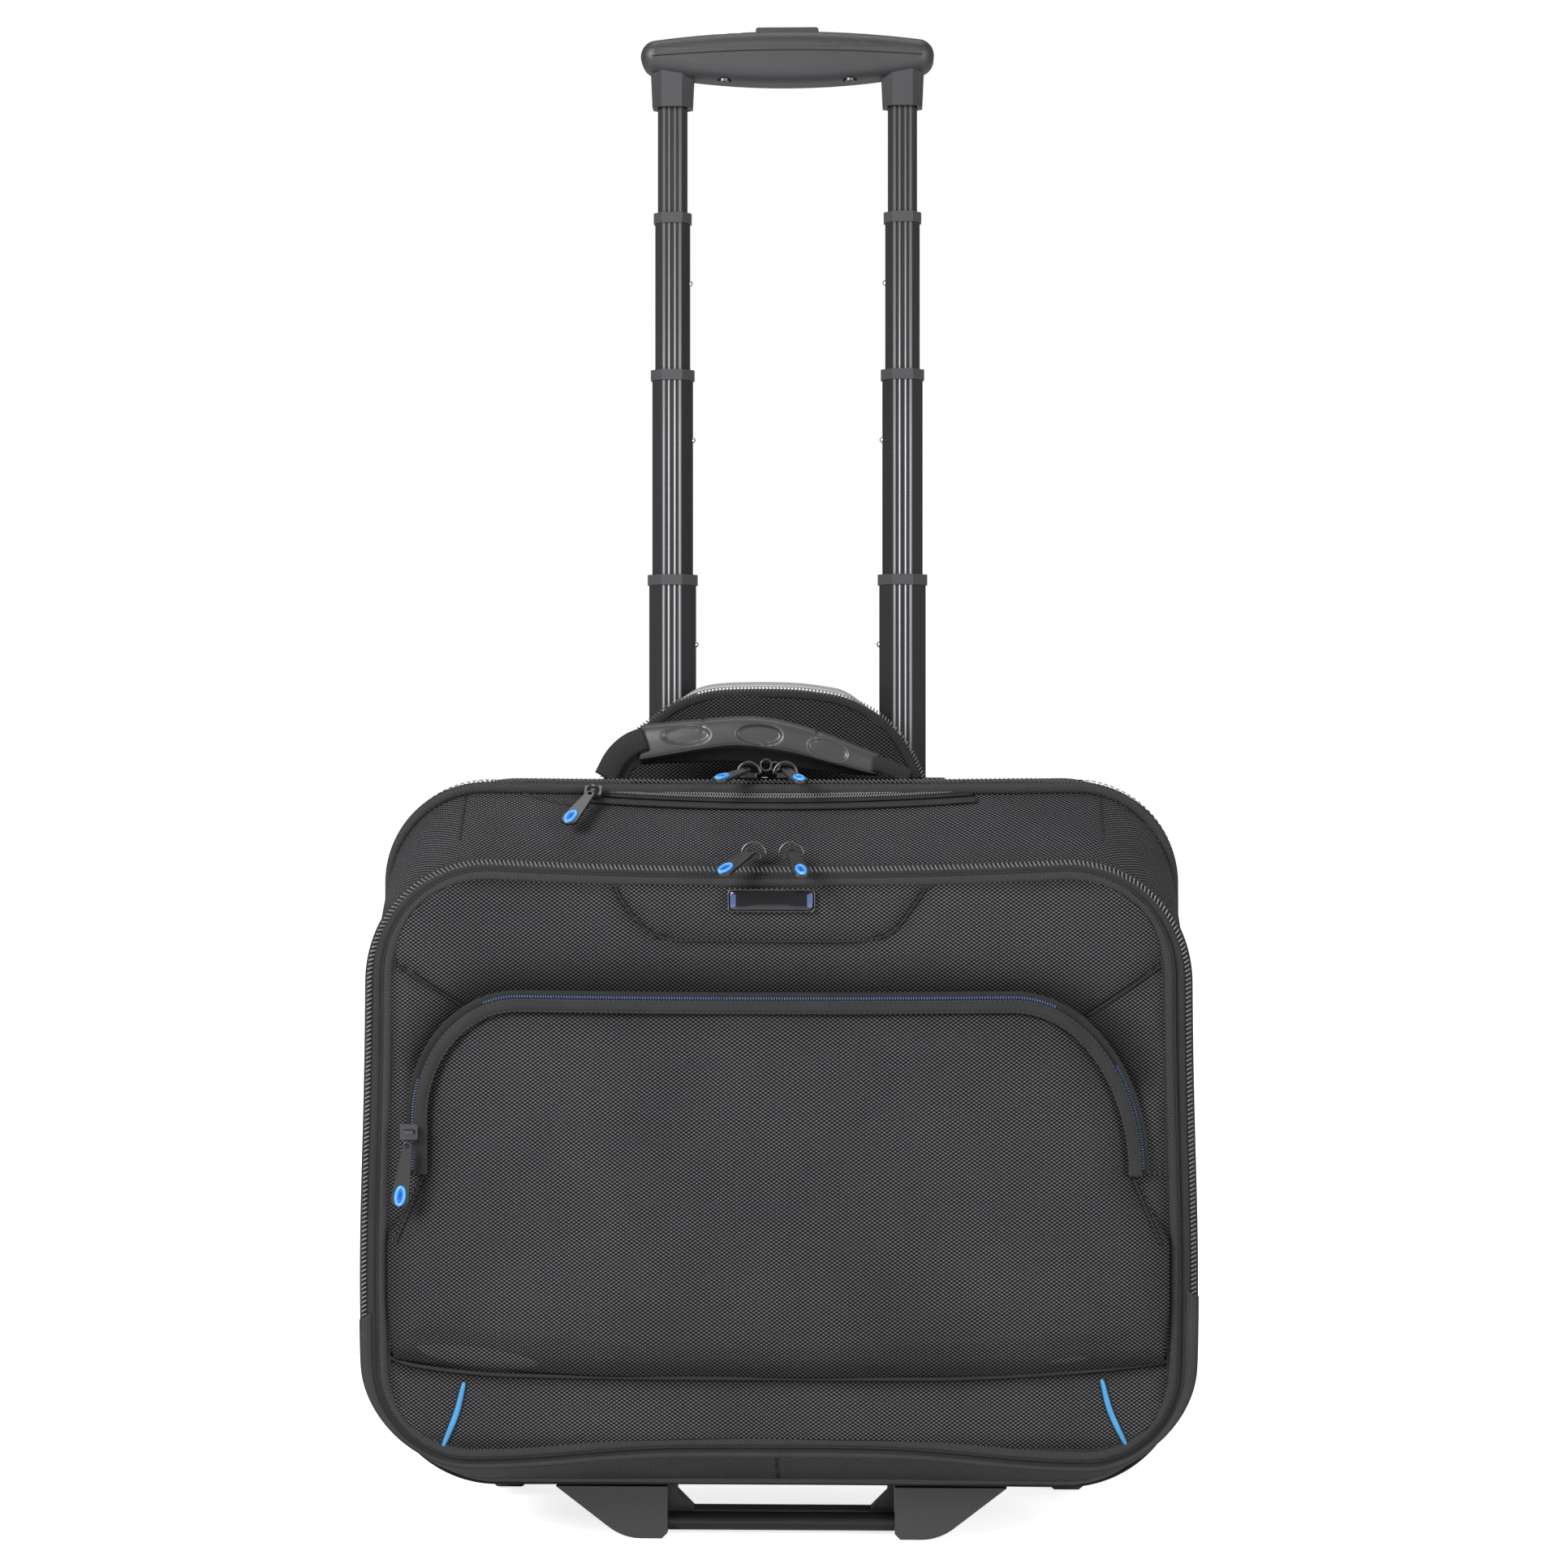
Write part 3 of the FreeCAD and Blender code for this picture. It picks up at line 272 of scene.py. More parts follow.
def capsule(length, radius, sides=6, rings=3):
    """A rounded bar along local X."""
    stations = []
    for k in range(rings + 1):
        a = math.pi / 2 * k / rings
        stations.append((-length / 2 + radius - radius * math.cos(a), radius * math.sin(a)))
    stations += [(-x, r) for x, r in reversed(stations)]
    stations = [(x, max(r, radius * 0.12)) for x, r in stations]
    turn = np.linspace(0, 2 * math.pi, sides, endpoint=False)
    points = []
    for x, r in stations:
        points += [(x, r * math.cos(t), r * math.sin(t)) for t in turn]
    faces = grid_faces(len(stations), sides, wrap_columns=True) + end_faces(len(stations), sides)
    return np.array(points), faces


def repeat_along(name, path, pitch, template, material, outward=FORWARD, tilt=0.0, lift=0.0):
    """Copies a small form along a path at a pitch: zip teeth, stitches."""
    path = np.asarray(path)
    total = np.linalg.norm(np.diff(path, axis=0), axis=1).sum()
    count = max(2, int(total / pitch))
    outward = np.asarray(outward, float)
    if outward.ndim == 2:
        both = resample(np.concatenate([path, outward * 1e-9], 1), count)
        spots = both[:, :3]
        outward = both[:, 3:] * 1e9
    else:
        spots = resample(path, count)
    tangent, side, face = frames_along(spots, outward, False)
    points, faces = template
    vertices = []
    polygons = []
    for k in range(count):
        along = tangent[k] * math.cos(tilt) + side[k] * math.sin(tilt)
        across = -tangent[k] * math.sin(tilt) + side[k] * math.cos(tilt)
        origin = spots[k] + face[k] * lift
        vertices.append(origin + points[:, 0:1] * along + points[:, 1:2] * across + points[:, 2:3] * face[k])
        polygons += [tuple(i + k * len(points) for i in f) for f in faces]
    return new_piece(name, np.concatenate(vertices), polygons, material)


def cord(name, path, radius, material, count=8, squash=1.0, **how):
    """A round or flattened cord along a path; radius in millimetres."""
    return sweep(name, path, circle_section(radius * MM, count, squash), material, **how)


def tape(name, path, width, depth, material, crown=0.0, **how):
    """A flat or crowned tape along a path; sizes in millimetres."""
    return sweep(name, path, strip_section(width * MM, depth * MM, crown * MM), material, **how)


def row_of(name, path, size, material, slant=0.0, **how):
    """A row of rounded bars along a path, such as zip teeth or stitches; slant in degrees."""
    pitch, length, radius = size
    bar = capsule(length * MM, radius * MM)
    return repeat_along(name, path, pitch * MM, bar, material, tilt=math.radians(slant), **how)


def hand(side):
    return "left" if side < 0 else "right"


def in_plane(points, y):
    """(x, z) points as 3-D points at a depth y."""
    points = np.asarray(points)
    depth = np.broadcast_to(y, (len(points),))
    return np.stack([points[:, 0], depth, points[:, 1]], 1)


def above(points, z_left, z_right):
    """The stretch of a closed outline above two heights, from the right end over to the left."""
    start = int(np.argmax((points[:, 1] > z_right) & (points[:, 0] > 0)))
    keep = [i for i in range(start, len(points))
            if points[i, 1] > (z_right if points[i, 0] > 0 else z_left)]
    return points[keep]


def spline(points, count=60):
    """Smooth curve through a few points (Catmull-Rom)."""
    p = np.asarray(points, float)
    p = np.concatenate([[2 * p[0] - p[1]], p, [2 * p[-1] - p[-2]]])
    out = []
    for i in range(1, len(p) - 2):
        t = np.linspace(0, 1, 16, endpoint=False)[:, None]
        a, b, c, d = p[i - 1], p[i], p[i + 1], p[i + 2]
        out.append(0.5 * (2 * b + (c - a) * t + (2 * a - 5 * b + 4 * c - d) * t ** 2
                          + (3 * b - a - 3 * c + d) * t ** 3))
    out.append(p[-2][None])
    return resample(np.concatenate(out), count)


def distance_to(x, z, chain):
    """Distance from points to a chain of (x, z) points."""
    best = np.full(x.shape, 1.0)
    for a, b in zip(chain[:-1], chain[1:]):
        d = b - a
        t = np.clip(((x - a[0]) * d[0] + (z - a[1]) * d[1]) / (d @ d + 1e-12), 0, 1)
        best = np.minimum(best, np.hypot(x - a[0] - t * d[0], z - a[1] - t * d[1]))
    return best


def ripples(x, z, seed, size, height):
    """Soft, fixed unevenness of laid fabric."""
    source = np.random.default_rng(seed)
    total = np.zeros_like(x)
    for _ in range(7):
        angle = source.uniform(0, math.pi)
        wave = source.uniform(0.7, 1.6) * size
        phase = source.uniform(0, 6.28)
        total += np.sin((x * math.cos(angle) + z * math.sin(angle)) / wave * 2 * math.pi + phase)
    return total / 7 * height * 2


# ---------------------------------------------------------------- node tools


class Nodes:
    """Short calls for a material's node tree."""

    def __init__(self, name):
        self.material = bpy.data.materials.new(name)
        self.material.use_nodes = True
        self.tree = self.material.node_tree
        self.shader = self.tree.nodes["Principled BSDF"]
        self.coords = self.tree.nodes.new("ShaderNodeTexCoord")

    def link(self, a, b):
        self.tree.links.new(a, b)

    def math(self, operation, a, b=None, clamp=False):
        node = self.tree.nodes.new("ShaderNodeMath")
        node.operation = operation
        node.use_clamp = clamp
        for socket, item in zip(node.inputs, (a, b)):
            if item is None:
                continue
            if isinstance(item, (int, float)):
                socket.default_value = item
            else:
                self.link(item, socket)
        return node.outputs[0]

    def noise(self, scale, detail=3.0, rough=0.5, vector=None):
        node = self.tree.nodes.new("ShaderNodeTexNoise")
        node.inputs["Scale"].default_value = scale
        node.inputs["Detail"].default_value = detail
        node.inputs["Roughness"].default_value = rough
        self.link(vector or self.coords.outputs["Object"], node.inputs["Vector"])
        return node.outputs["Fac"]

    def attribute(self, name, output):
        """A value stored on the mesh; 0 where nothing is stored."""
        node = self.tree.nodes.new("ShaderNodeAttribute")
        node.attribute_name = name
        return node.outputs[output]

    def split(self, vector):
        node = self.tree.nodes.new("ShaderNodeSeparateXYZ")
        self.link(vector, node.inputs[0])
        return node.outputs[0], node.outputs[1], node.outputs[2]

    def stretched(self, share):
        """Object coordinates drawn out along Z, for lines that run up a part."""
        node = self.tree.nodes.new("ShaderNodeMapping")
        node.inputs["Scale"].default_value = (1, 1, share)
        self.link(self.coords.outputs["Object"], node.inputs["Vector"])
        return node.outputs[0]

    def ramp(self, value, stops):
        node = self.tree.nodes.new("ShaderNodeValToRGB")
        ramp = node.color_ramp
        while len(ramp.elements) < len(stops):
            ramp.elements.new(0.5)
        for element, (place, color) in zip(ramp.elements, stops):
            element.position = place
            element.color = (*color, 1)
        self.link(value, node.inputs["Fac"])
        return node.outputs["Color"]

    def mix(self, factor, a, b, kind="MIX"):
        node = self.tree.nodes.new("ShaderNodeMix")
        node.data_type = "RGBA"
        node.blend_type = kind
        for socket, item in ((node.inputs[0], factor), (node.inputs[6], a), (node.inputs[7], b)):
            if isinstance(item, (int, float)):
                socket.default_value = item
            elif isinstance(item, tuple):
                socket.default_value = (*item, 1)
            else:
                self.link(item, socket)
        return node.outputs[2]

    def axes(self):
        """Metres along the cloth: stored on a lofted piece, else picked by the way it faces."""
        place = self.split(self.coords.outputs["Object"])
        x, y, z = (self.math("ABSOLUTE", axis) for axis in self.split(self.coords.outputs["Normal"]))
        sideways = self.math("GREATER_THAN", x, self.math("MAXIMUM", y, z))
        upwards = self.math("GREATER_THAN", z, self.math("MAXIMUM", x, y))
        u = self.choose(sideways, place[0], place[1])
        v = self.choose(upwards, place[2], place[1])
        along, across, stored = self.split(self.attribute("cloth", "Vector"))
        return self.choose(stored, u, along), self.choose(stored, v, across)

    def choose(self, factor, a, b):
        """a where factor is 0, b where it is 1."""
        return self.math("ADD", self.math("MULTIPLY", self.math("SUBTRACT", 1.0, factor), a),
                         self.math("MULTIPLY", factor, b))

    def bump(self, height, depth, strength=1.0):
        node = self.tree.nodes.new("ShaderNodeBump")
        node.inputs["Distance"].default_value = depth
        node.inputs["Strength"].default_value = strength
        self.link(height, node.inputs["Height"])
        self.link(node.outputs["Normal"], self.shader.inputs["Normal"])

    def set(self, **values):
        for name, item in values.items():
            socket = self.shader.inputs[name.replace("_", " ")]
            if isinstance(item, (int, float, tuple)):
                socket.default_value = (*item, 1) if isinstance(item, tuple) else item
            else:
                self.link(item, socket)
        return self.material


def grey(level, tint=(1.0, 0.99, 1.05)):
    return tuple(level * t for t in tint)


# ---------------------------------------------------------------- materials


WEAVE_ACROSS = 2.71 * MM
WEAVE_UP = 1.94 * MM


def weave_height(n, pitch_u, pitch_v, angle=0.0):
    """Plain weave: staggered bumps where one yarn passes over the next."""
    u, v = n.axes()
    drift = n.math("MULTIPLY", n.math("SUBTRACT", n.noise(9.0, 2.0), 0.5), 0.0035)
    u = n.math("ADD", u, drift)
    v = n.math("ADD", v, n.math("MULTIPLY", drift, 0.7))
    if angle:
        c, s = math.cos(angle), math.sin(angle)
        u, v = (n.math("ADD", n.math("MULTIPLY", u, c), n.math("MULTIPLY", v, s)),
                n.math("SUBTRACT", n.math("MULTIPLY", v, c), n.math("MULTIPLY", u, s)))
    a = n.math("COSINE", n.math("MULTIPLY", u, 2 * math.pi / pitch_u))
    b = n.math("COSINE", n.math("MULTIPLY", v, 2 * math.pi / pitch_v))
    wave = n.math("MULTIPLY", a, b)
    return n.math("ADD", n.math("MULTIPLY", wave, 0.5), 0.5)


def ballistic_nylon(name="ballistic_nylon", level=1.0):
    """Coarse basket-weave nylon in its own dark grey, with painted highlight on the yarn crowns and painted
    shade in the gaps, set by the weave's height.
    """
    n = Nodes(name)
    height = weave_height(n, WEAVE_ACROSS, WEAVE_UP)
    fray = n.noise(900.0, 2.0)
    height = n.math("ADD", n.math("MULTIPLY", height, 0.85), n.math("MULTIPLY", fray, 0.15))
    # painted highlight on the yarn crowns, painted shade in the gaps between them
    color = n.ramp(height, [(0.0, grey(0.0008 * level)), (0.38, grey(0.006 * level)),
                            (0.62, grey(0.034 * level)), (1.0, grey(0.150 * level))])
    patch = n.ramp(n.noise(14.0, 4.0), [(0.3, (0.84, 0.84, 0.86)), (0.75, (1.12, 1.12, 1.12))])
    color = n.mix(1.0, color, patch, "MULTIPLY")
    # painted shade: the mesh's 'fold' attribute darkens the cloth in seams, folds and valleys
    color = n.mix(n.attribute("fold", "Fac"), color, grey(0.0))
    n.bump(height, 0.0007, 1.0)
    return n.set(Base_Color=color, Roughness=n.math("SUBTRACT", 0.82, n.math("MULTIPLY", height, 0.22)),
                 Specular_IOR_Level=0.12)


def smooth_tape(name="smooth_tape", level=1.0, pitch=0.55):
    """Fine close-woven tape: flap band, zip tape, binding."""
    n = Nodes(name)
    height = weave_height(n, 2 * pitch * MM, 2 * pitch * MM, math.pi / 4)
    color = n.ramp(height, [(0.0, grey(0.011 * level)), (1.0, grey(0.026 * level))])
    patch = n.ramp(n.noise(60.0, 4.0), [(0.3, (0.85, 0.85, 0.87)), (0.75, (1.12, 1.12, 1.12))])
    color = n.mix(1.0, color, patch, "MULTIPLY")
    n.bump(height, 0.00012, 0.6)
    return n.set(Base_Color=color, Roughness=0.72, Specular_IOR_Level=0.2)


def ribbed_binding():
    """Slanting ribs of the cloth wrapped round a piping cord, with painted highlight on the rib crests and
    painted shade between them.
    """
    n = Nodes("piping_cloth")
    u, v = n.axes()
    slant = n.math("ADD", u, n.math("MULTIPLY", v, 1.15))
    rib = n.math("COSINE", n.math("MULTIPLY", slant, 2 * math.pi / (1.7 * MM)))
    rib = n.math("ADD", n.math("MULTIPLY", rib, 0.5), 0.5)
    height = n.math("ADD", n.math("MULTIPLY", rib, 0.8), n.math("MULTIPLY", n.noise(700.0, 2.0), 0.2))
    # painted highlight on the rib crests, painted shade in the troughs
    color = n.ramp(height, [(0.0, grey(0.004)), (0.5, grey(0.014)), (1.0, grey(0.060))])
    n.bump(height, 0.0004, 1.0)
    return n.set(Base_Color=color, Roughness=0.7, Specular_IOR_Level=0.25)


def plastic(name, level, grain=1800.0, depth=0.00006, rough=0.5, tint=(1.0, 1.0, 1.06)):
    """Moulded plastic with a fine grain and slight tone changes."""
    n = Nodes(name)
    fine = n.noise(grain, 3.0, 0.6)
    broad = n.noise(25.0, 3.0)
    tone = n.math("ADD", n.math("MULTIPLY", fine, 0.5), n.math("MULTIPLY", broad, 0.5))
    color = n.ramp(tone, [(0.25, grey(level * 0.88, tint)), (0.75, grey(level * 1.12, tint))])
    n.bump(fine, depth, 0.8)
    rough_map = n.math("ADD", rough - 0.05, n.math("MULTIPLY", broad, 0.1))
    return n.set(Base_Color=color, Roughness=rough_map)


def metal(name, level, rough=0.3, tint=(1.0, 1.0, 1.02), weight=1.0):
    """Metal with drawn streaks along Z and small tone changes."""
    n = Nodes(name)
    lines = n.noise(1500.0, 2.0, 0.5, n.stretched(0.02))
    color = n.ramp(lines, [(0.3, grey(level * 0.88, tint)), (0.7, grey(level * 1.1, tint))])
    n.bump(lines, 0.00001, 0.3)
    rough_map = n.math("ADD", rough - 0.06, n.math("MULTIPLY", n.noise(90.0, 3.0), 0.12))
    return n.set(Base_Color=color, Roughness=rough_map, Metallic=weight)


def ribbed_tube():
    """Black anodised tube whose front ribs carry painted highlight, stronger low down, and whose grooves keep
    the tube's dark colour.
    """
    n = Nodes("anodised_tube")
    x, _, z = n.split(n.coords.outputs["Object"])
    facing = n.split(n.coords.outputs["Normal"])[1]
    off = n.math("ABSOLUTE", n.math("SUBTRACT", n.math("ABSOLUTE", x), TUBE_X))
    ribs = []
    for place, steep in ((1.68 * MM, 1250.0), (4.6 * MM, 850.0)):
        away = n.math("ABSOLUTE", n.math("SUBTRACT", off, place))
        ribs.append(n.math("SUBTRACT", 1.0, n.math("MULTIPLY", away, steep), True))
    # painted highlight: the rib bands lighten only on faces toward the front, and fade higher up
    bright = n.math("MAXIMUM", ribs[0], n.math("MULTIPLY", ribs[1], 0.75))
    bright = n.math("MULTIPLY", bright, n.math("LESS_THAN", facing, -0.8))
    height = n.math("MULTIPLY", n.math("SUBTRACT", z, 0.60), 5.5, True)
    bright = n.math("MULTIPLY", bright, n.math("SUBTRACT", 1.0, n.math("MULTIPLY", height, 0.62)))
    streak = n.math("SUBTRACT", n.noise(700.0, 2.0, 0.5, n.stretched(0.015)), 0.5)
    streak = n.math("MULTIPLY", n.math("MULTIPLY", streak, 0.3), bright)
    tone = n.math("ADD", bright, streak, True)
    color = n.ramp(tone, [(0.0, grey(0.013, (0.97, 1.0, 1.06))), (0.5, grey(0.11)), (1.0, grey(0.55))])
    rough = n.math("ADD", 0.27, n.math("MULTIPLY", n.noise(40.0, 2.0), 0.08))
    return n.set(Base_Color=color, Roughness=rough, Specular_IOR_Level=0.5)


def coloured(name, dark, light, rough=0.35, grain=500.0, coat=0.0):
    """Solid-coloured moulded trim with faint mottling."""
    n = Nodes(name)
    color = n.ramp(n.noise(grain, 3.0), [(0.25, dark), (0.75, light)])
    n.bump(n.noise(grain * 2, 2.0), 0.00003, 0.5)
    return n.set(Base_Color=color, Roughness=rough, Coat_Weight=coat)


def lining(name, dark, light):
    """Fine diagonal cloth: the inner lining, and the hood's top gusset coloured as painted sheen."""
    n = Nodes(name)
    height = weave_height(n, 1.5 * MM, 1.5 * MM, math.pi / 4)
    color = n.ramp(height, [(0.0, dark), (1.0, light)])
    n.bump(height, 0.00015, 0.6)
    return n.set(Base_Color=color, Roughness=0.7, Sheen_Weight=0.05, Sheen_Roughness=0.4)


def make_materials():
    return {
        "ballistic": ballistic_nylon(),
        "shaded_ballistic": ballistic_nylon("shaded_ballistic", 0.6),
        "tape": smooth_tape(level=0.85),
        "boot": smooth_tape("boot_cloth", 1.25, 0.8),
        "binding": smooth_tape("dark_binding", 0.62, 0.7),
        "piping": ribbed_binding(),
        "lining": lining("inner_lining", grey(0.03), grey(0.05)),
        # painted sheen: light grey standing for top light glancing off the hood's dark gusset
        "painted_sheen_grey": lining("hood_gusset_painted_sheen", (0.10, 0.112, 0.118), (0.36, 0.38, 0.39)),
        # coil colours: the teeth's dark grey raised as painted highlight, so each tooth reads as a glint
        "coil": plastic("coil_nylon", 0.085, 900.0, 0.00004, 0.28),
        "main_coil": plastic("main_coil_nylon", 0.055, 900.0, 0.00004, 0.35),
        "coil_fine": plastic("coil_nylon_fine", 0.13, 900.0, 0.00004, 0.25),
        # painted shadow: near-black sheet behind the zip coils, so the gaps between teeth read dark
        "zip_shadow_bed": plastic("zip_shadow_bed_cloth", 0.004, 1500.0, 0.00005, 0.8),
        "webbing": smooth_tape("webbing_weave", 0.8, 1.0),
        "coil_blue": coloured("coil_muted_blue", (0.035, 0.062, 0.15), (0.065, 0.11, 0.25), 0.5),
        # painted shade: near-black cords laid in seams, gaps and grooves where shade falls
        "seam": plastic("seam_shadow", 0.003, 900.0, 0.00003, 0.85),
        "thread": plastic("stitch_thread", 0.022, 2500.0, 0.0001, 0.6),
        "grip": plastic("soft_touch_grip", 0.020, 2600.0, 0.0001, 0.45, (0.97, 0.99, 1.08)),
        "rubber": plastic("moulded_rubber", 0.029, 2200.0, 0.00005, 0.36, (0.99, 1.0, 1.05)),
        # painted shade: near-black rubber for the grip's underside and a recess rim
        "rubber_shade": plastic("rubber_painted_shade", 0.006, 1500.0, 0.0001, 0.6),
        "leg": plastic("stand_plastic", 0.034, 2400.0, 0.00012, 0.5),
        "bar": plastic("bar_enamel", 0.012, 1200.0, 0.00002, 0.25),
        "tube": ribbed_tube(),
        "collar": plastic("collar_plastic", 0.040, 1800.0, 0.00004, 0.35),
        "steel": metal("bright_steel", 0.62, 0.25),
        "screw": metal("screw_steel", 0.10, 0.4),
        "dark_metal": metal("lacquered_slider", 0.06, 0.22, (1.0, 1.0, 1.04), 0.7),
        "lighter_rim_metal": metal("lighter_slider_rim", 0.13, 0.3),
        "puller": plastic("puller_plastic", 0.012, 1600.0, 0.00006, 0.24),
        "blue": coloured("blue_trim", (0.026, 0.165, 0.34), (0.036, 0.20, 0.41), 0.4),
        "blue_bright": coloured("blue_ring", (0.03, 0.22, 0.60), (0.05, 0.28, 0.70), 0.3, 500.0, 0.3),
        "blue_deep": coloured("blue_ring_deep", (0.01, 0.05, 0.30), (0.02, 0.10, 0.42), 0.3),
        "plate": coloured("plate_black_gloss", (0.003, 0.003, 0.004), (0.006, 0.006, 0.008), 0.15, 60.0, 0.0),
        "plate_rim": metal("plate_rim", 0.10, 0.3),
        "plate_blue": coloured("plate_blue_ends", (0.03, 0.05, 0.13), (0.05, 0.08, 0.19), 0.25, 90.0, 0.3),
        "tread": plastic("wheel_tread", 0.018, 700.0, 0.00015, 0.6),
        "hub": plastic("hub_plastic", 0.03, 1500.0, 0.00008, 0.45),
        "board": plastic("board", 0.03, 500.0, 0.0001, 0.6),
    }


M = make_materials()

# ---------------------------------------------------------------- placing


def place(item, body, slot, replaces=()):
    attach(item, body)
    if replaces:
        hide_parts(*replaces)
    return item


def fold_with_flap(item, replaces=()):
    """Fabric for the front flap above the fold: bakes its placement into the mesh and hides the parts it
    replaces.
    """
    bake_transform(item)
    if replaces:
        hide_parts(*replaces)
    return item


# ---------------------------------------------------------------- front panel

NAME_SEAM = spline([(-0.0870, 0.3580), (-0.0800, 0.3440), (-0.0690, 0.3310), (-0.0560, 0.3248),
                    (-0.0300, 0.3240), (0.0280, 0.3236), (0.0500, 0.3250), (0.0610, 0.3300),
                    (0.0705, 0.3420), (0.0800, 0.3560)], 90)
LEFT_SEAM = spline([(-0.2030, 0.3145), (-0.1840, 0.3030), (-0.1600, 0.2870)], 20)
RIGHT_SEAM = spline([(0.2020, 0.3140), (0.1850, 0.3020), (0.1600, 0.2850)], 20)
LOWER_SEAM = spline([(-0.2030, 0.1080), (-0.1890, 0.1039), (-0.1620, 0.1005), (-0.1320, 0.0988),
                     (-0.0600, 0.0980), (0.0600, 0.0978), (0.1050, 0.0988), (0.1650, 0.1028),
                     (0.2030, 0.1075)], 120)


def half_width(z, half, low, high, r_low, r_high):
    """Half width of a rounded rectangle at each height."""
    width = np.full(z.shape, half)
    b = low + r_low - z
    t = z - (high - r_high)
    width = np.where(b > 0, half - r_low + np.sqrt(np.clip(r_low ** 2 - b ** 2, 0, None)), width)
    return np.where(t > 0, half - r_high + np.sqrt(np.clip(r_high ** 2 - t ** 2, 0, None)), width)


def rows_between(low, high, r_low, r_high, count):
    """Heights with closer rows where the corners turn."""
    turn = np.linspace(0, math.pi / 2, 26)
    bottom = low + r_low * (1 - np.cos(turn))
    top = high - r_high * (1 - np.cos(turn[::-1]))
    middle = np.linspace(low + r_low, high - r_high, count)[1:-1]
    return np.concatenate([bottom, middle, top])


def sheet_mesh(name, rows, widths, columns, relief, material, hang=None):
    """Regular fabric grid: each row spans its own width; relief gives the depth in Y."""
    across = np.linspace(-1, 1, columns)
    across = np.sign(across) * np.abs(across) ** 0.92
    if isinstance(widths, tuple):
        left, right = widths
        x = np.where(across[None] < 0, left[:, None], right[:, None]) * across[None]
    else:
        x = widths[:, None] * across[None]
    z = np.repeat(rows[:, None], columns, 1)
    if hang is not None:
        moved = settle(np.stack([x.ravel(), z.ravel()], 1), *hang)
        x = moved[:, 0].reshape(x.shape)
        z = moved[:, 1].reshape(z.shape)
    y = relief(x, z)
    vertices = np.stack([x, y, z], 2).reshape(-1, 3)
    return new_piece(name, vertices, grid_faces(len(rows), columns), material)


VALLEY = spline([(-0.1800, 0.2640), (-0.1700, 0.2800), (-0.1500, 0.2950), (-0.0900, 0.2985), (0.0, 0.2975),
                 (0.0900, 0.2970), (0.1450, 0.2920), (0.1700, 0.2760), (0.1830, 0.2560)], 60)
VALLEY_DEPTH = 4.2 * MM
VALLEY_REACH = 15 * MM
FRONT_HANG = (FRONT_HALF, FRONT_LOW, FRONT_TOP, 7 * MM, 7 * MM, 3 * MM)


def edge_fall(x, z, reach):
    """0 at the front panel's edge, 1 further in than reach."""
    dx = FRONT_HALF + 2 * MM - np.abs(x)
    dz = np.minimum(z - FRONT_LOW - 2 * MM, FRONT_TOP - 3 * MM - z)
    return smooth(np.minimum(dx, dz), 0, reach)


def panel_relief(x, z):
    """Padded front: domed, sunk at the piping and along each seam."""
    dome = (1 - np.abs(x / FRONT_HALF) ** 3) * (1 - np.abs((z - 0.21) / 0.16) ** 3)
    depth = 2.2 * MM * edge_fall(x, z, 14 * MM) + 2.5 * MM * np.clip(dome, 0, 1)
    for seam in (NAME_SEAM, LEFT_SEAM, RIGHT_SEAM, LOWER_SEAM):
        away = distance_to(x, z, seam)
        depth -= 1.5 * MM * np.exp(-(away / (1.5 * MM)) ** 2) + 1.6 * MM * np.exp(-(away / (5.0 * MM)) ** 2)
    depth -= VALLEY_DEPTH * np.exp(-(distance_to(x, z, VALLEY) / VALLEY_REACH) ** 2)
    crease = np.exp(-((x + 0.052 + (z - 0.31) * 0.25) / 0.006) ** 2)
    depth -= 0.9 * MM * crease * smooth(z, 0.29, 0.30) * (1 - smooth(z, 0.312, 0.322))
    plate = smooth(0.030 - np.abs(x + 0.003), 0, 0.006) * smooth(0.012 - np.abs(z - 0.3448), 0, 0.005)
    depth -= 1.3 * MM * plate
    depth += ripples(x, z, 3, 0.09, 0.0007)
    return FRONT_Y - 1.2 * MM - depth


def panel_painted_shade(x, z):
    """Painted shade: the cloth is darkened along the seams, under the piping and in the valley over the
    pocket.
    """
    shade = 0.66 * np.exp(-(distance_to(x, z, VALLEY) / (14 * MM)) ** 2)
    for seam in (NAME_SEAM, LEFT_SEAM, RIGHT_SEAM):
        shade = np.maximum(shade, 0.85 * np.exp(-(distance_to(x, z, seam) / (1.3 * MM)) ** 2))
        shade = np.maximum(shade, 0.20 * np.exp(-(distance_to(x, z, seam) / (7.0 * MM)) ** 2))
    shade = np.maximum(shade, 0.72 * np.exp(-(distance_to(x, z, LOWER_SEAM) / (5.0 * MM)) ** 2))
    edge = 1 - edge_fall(x, z, 13 * MM)
    return np.maximum(shade, 0.55 * edge ** 1.5)


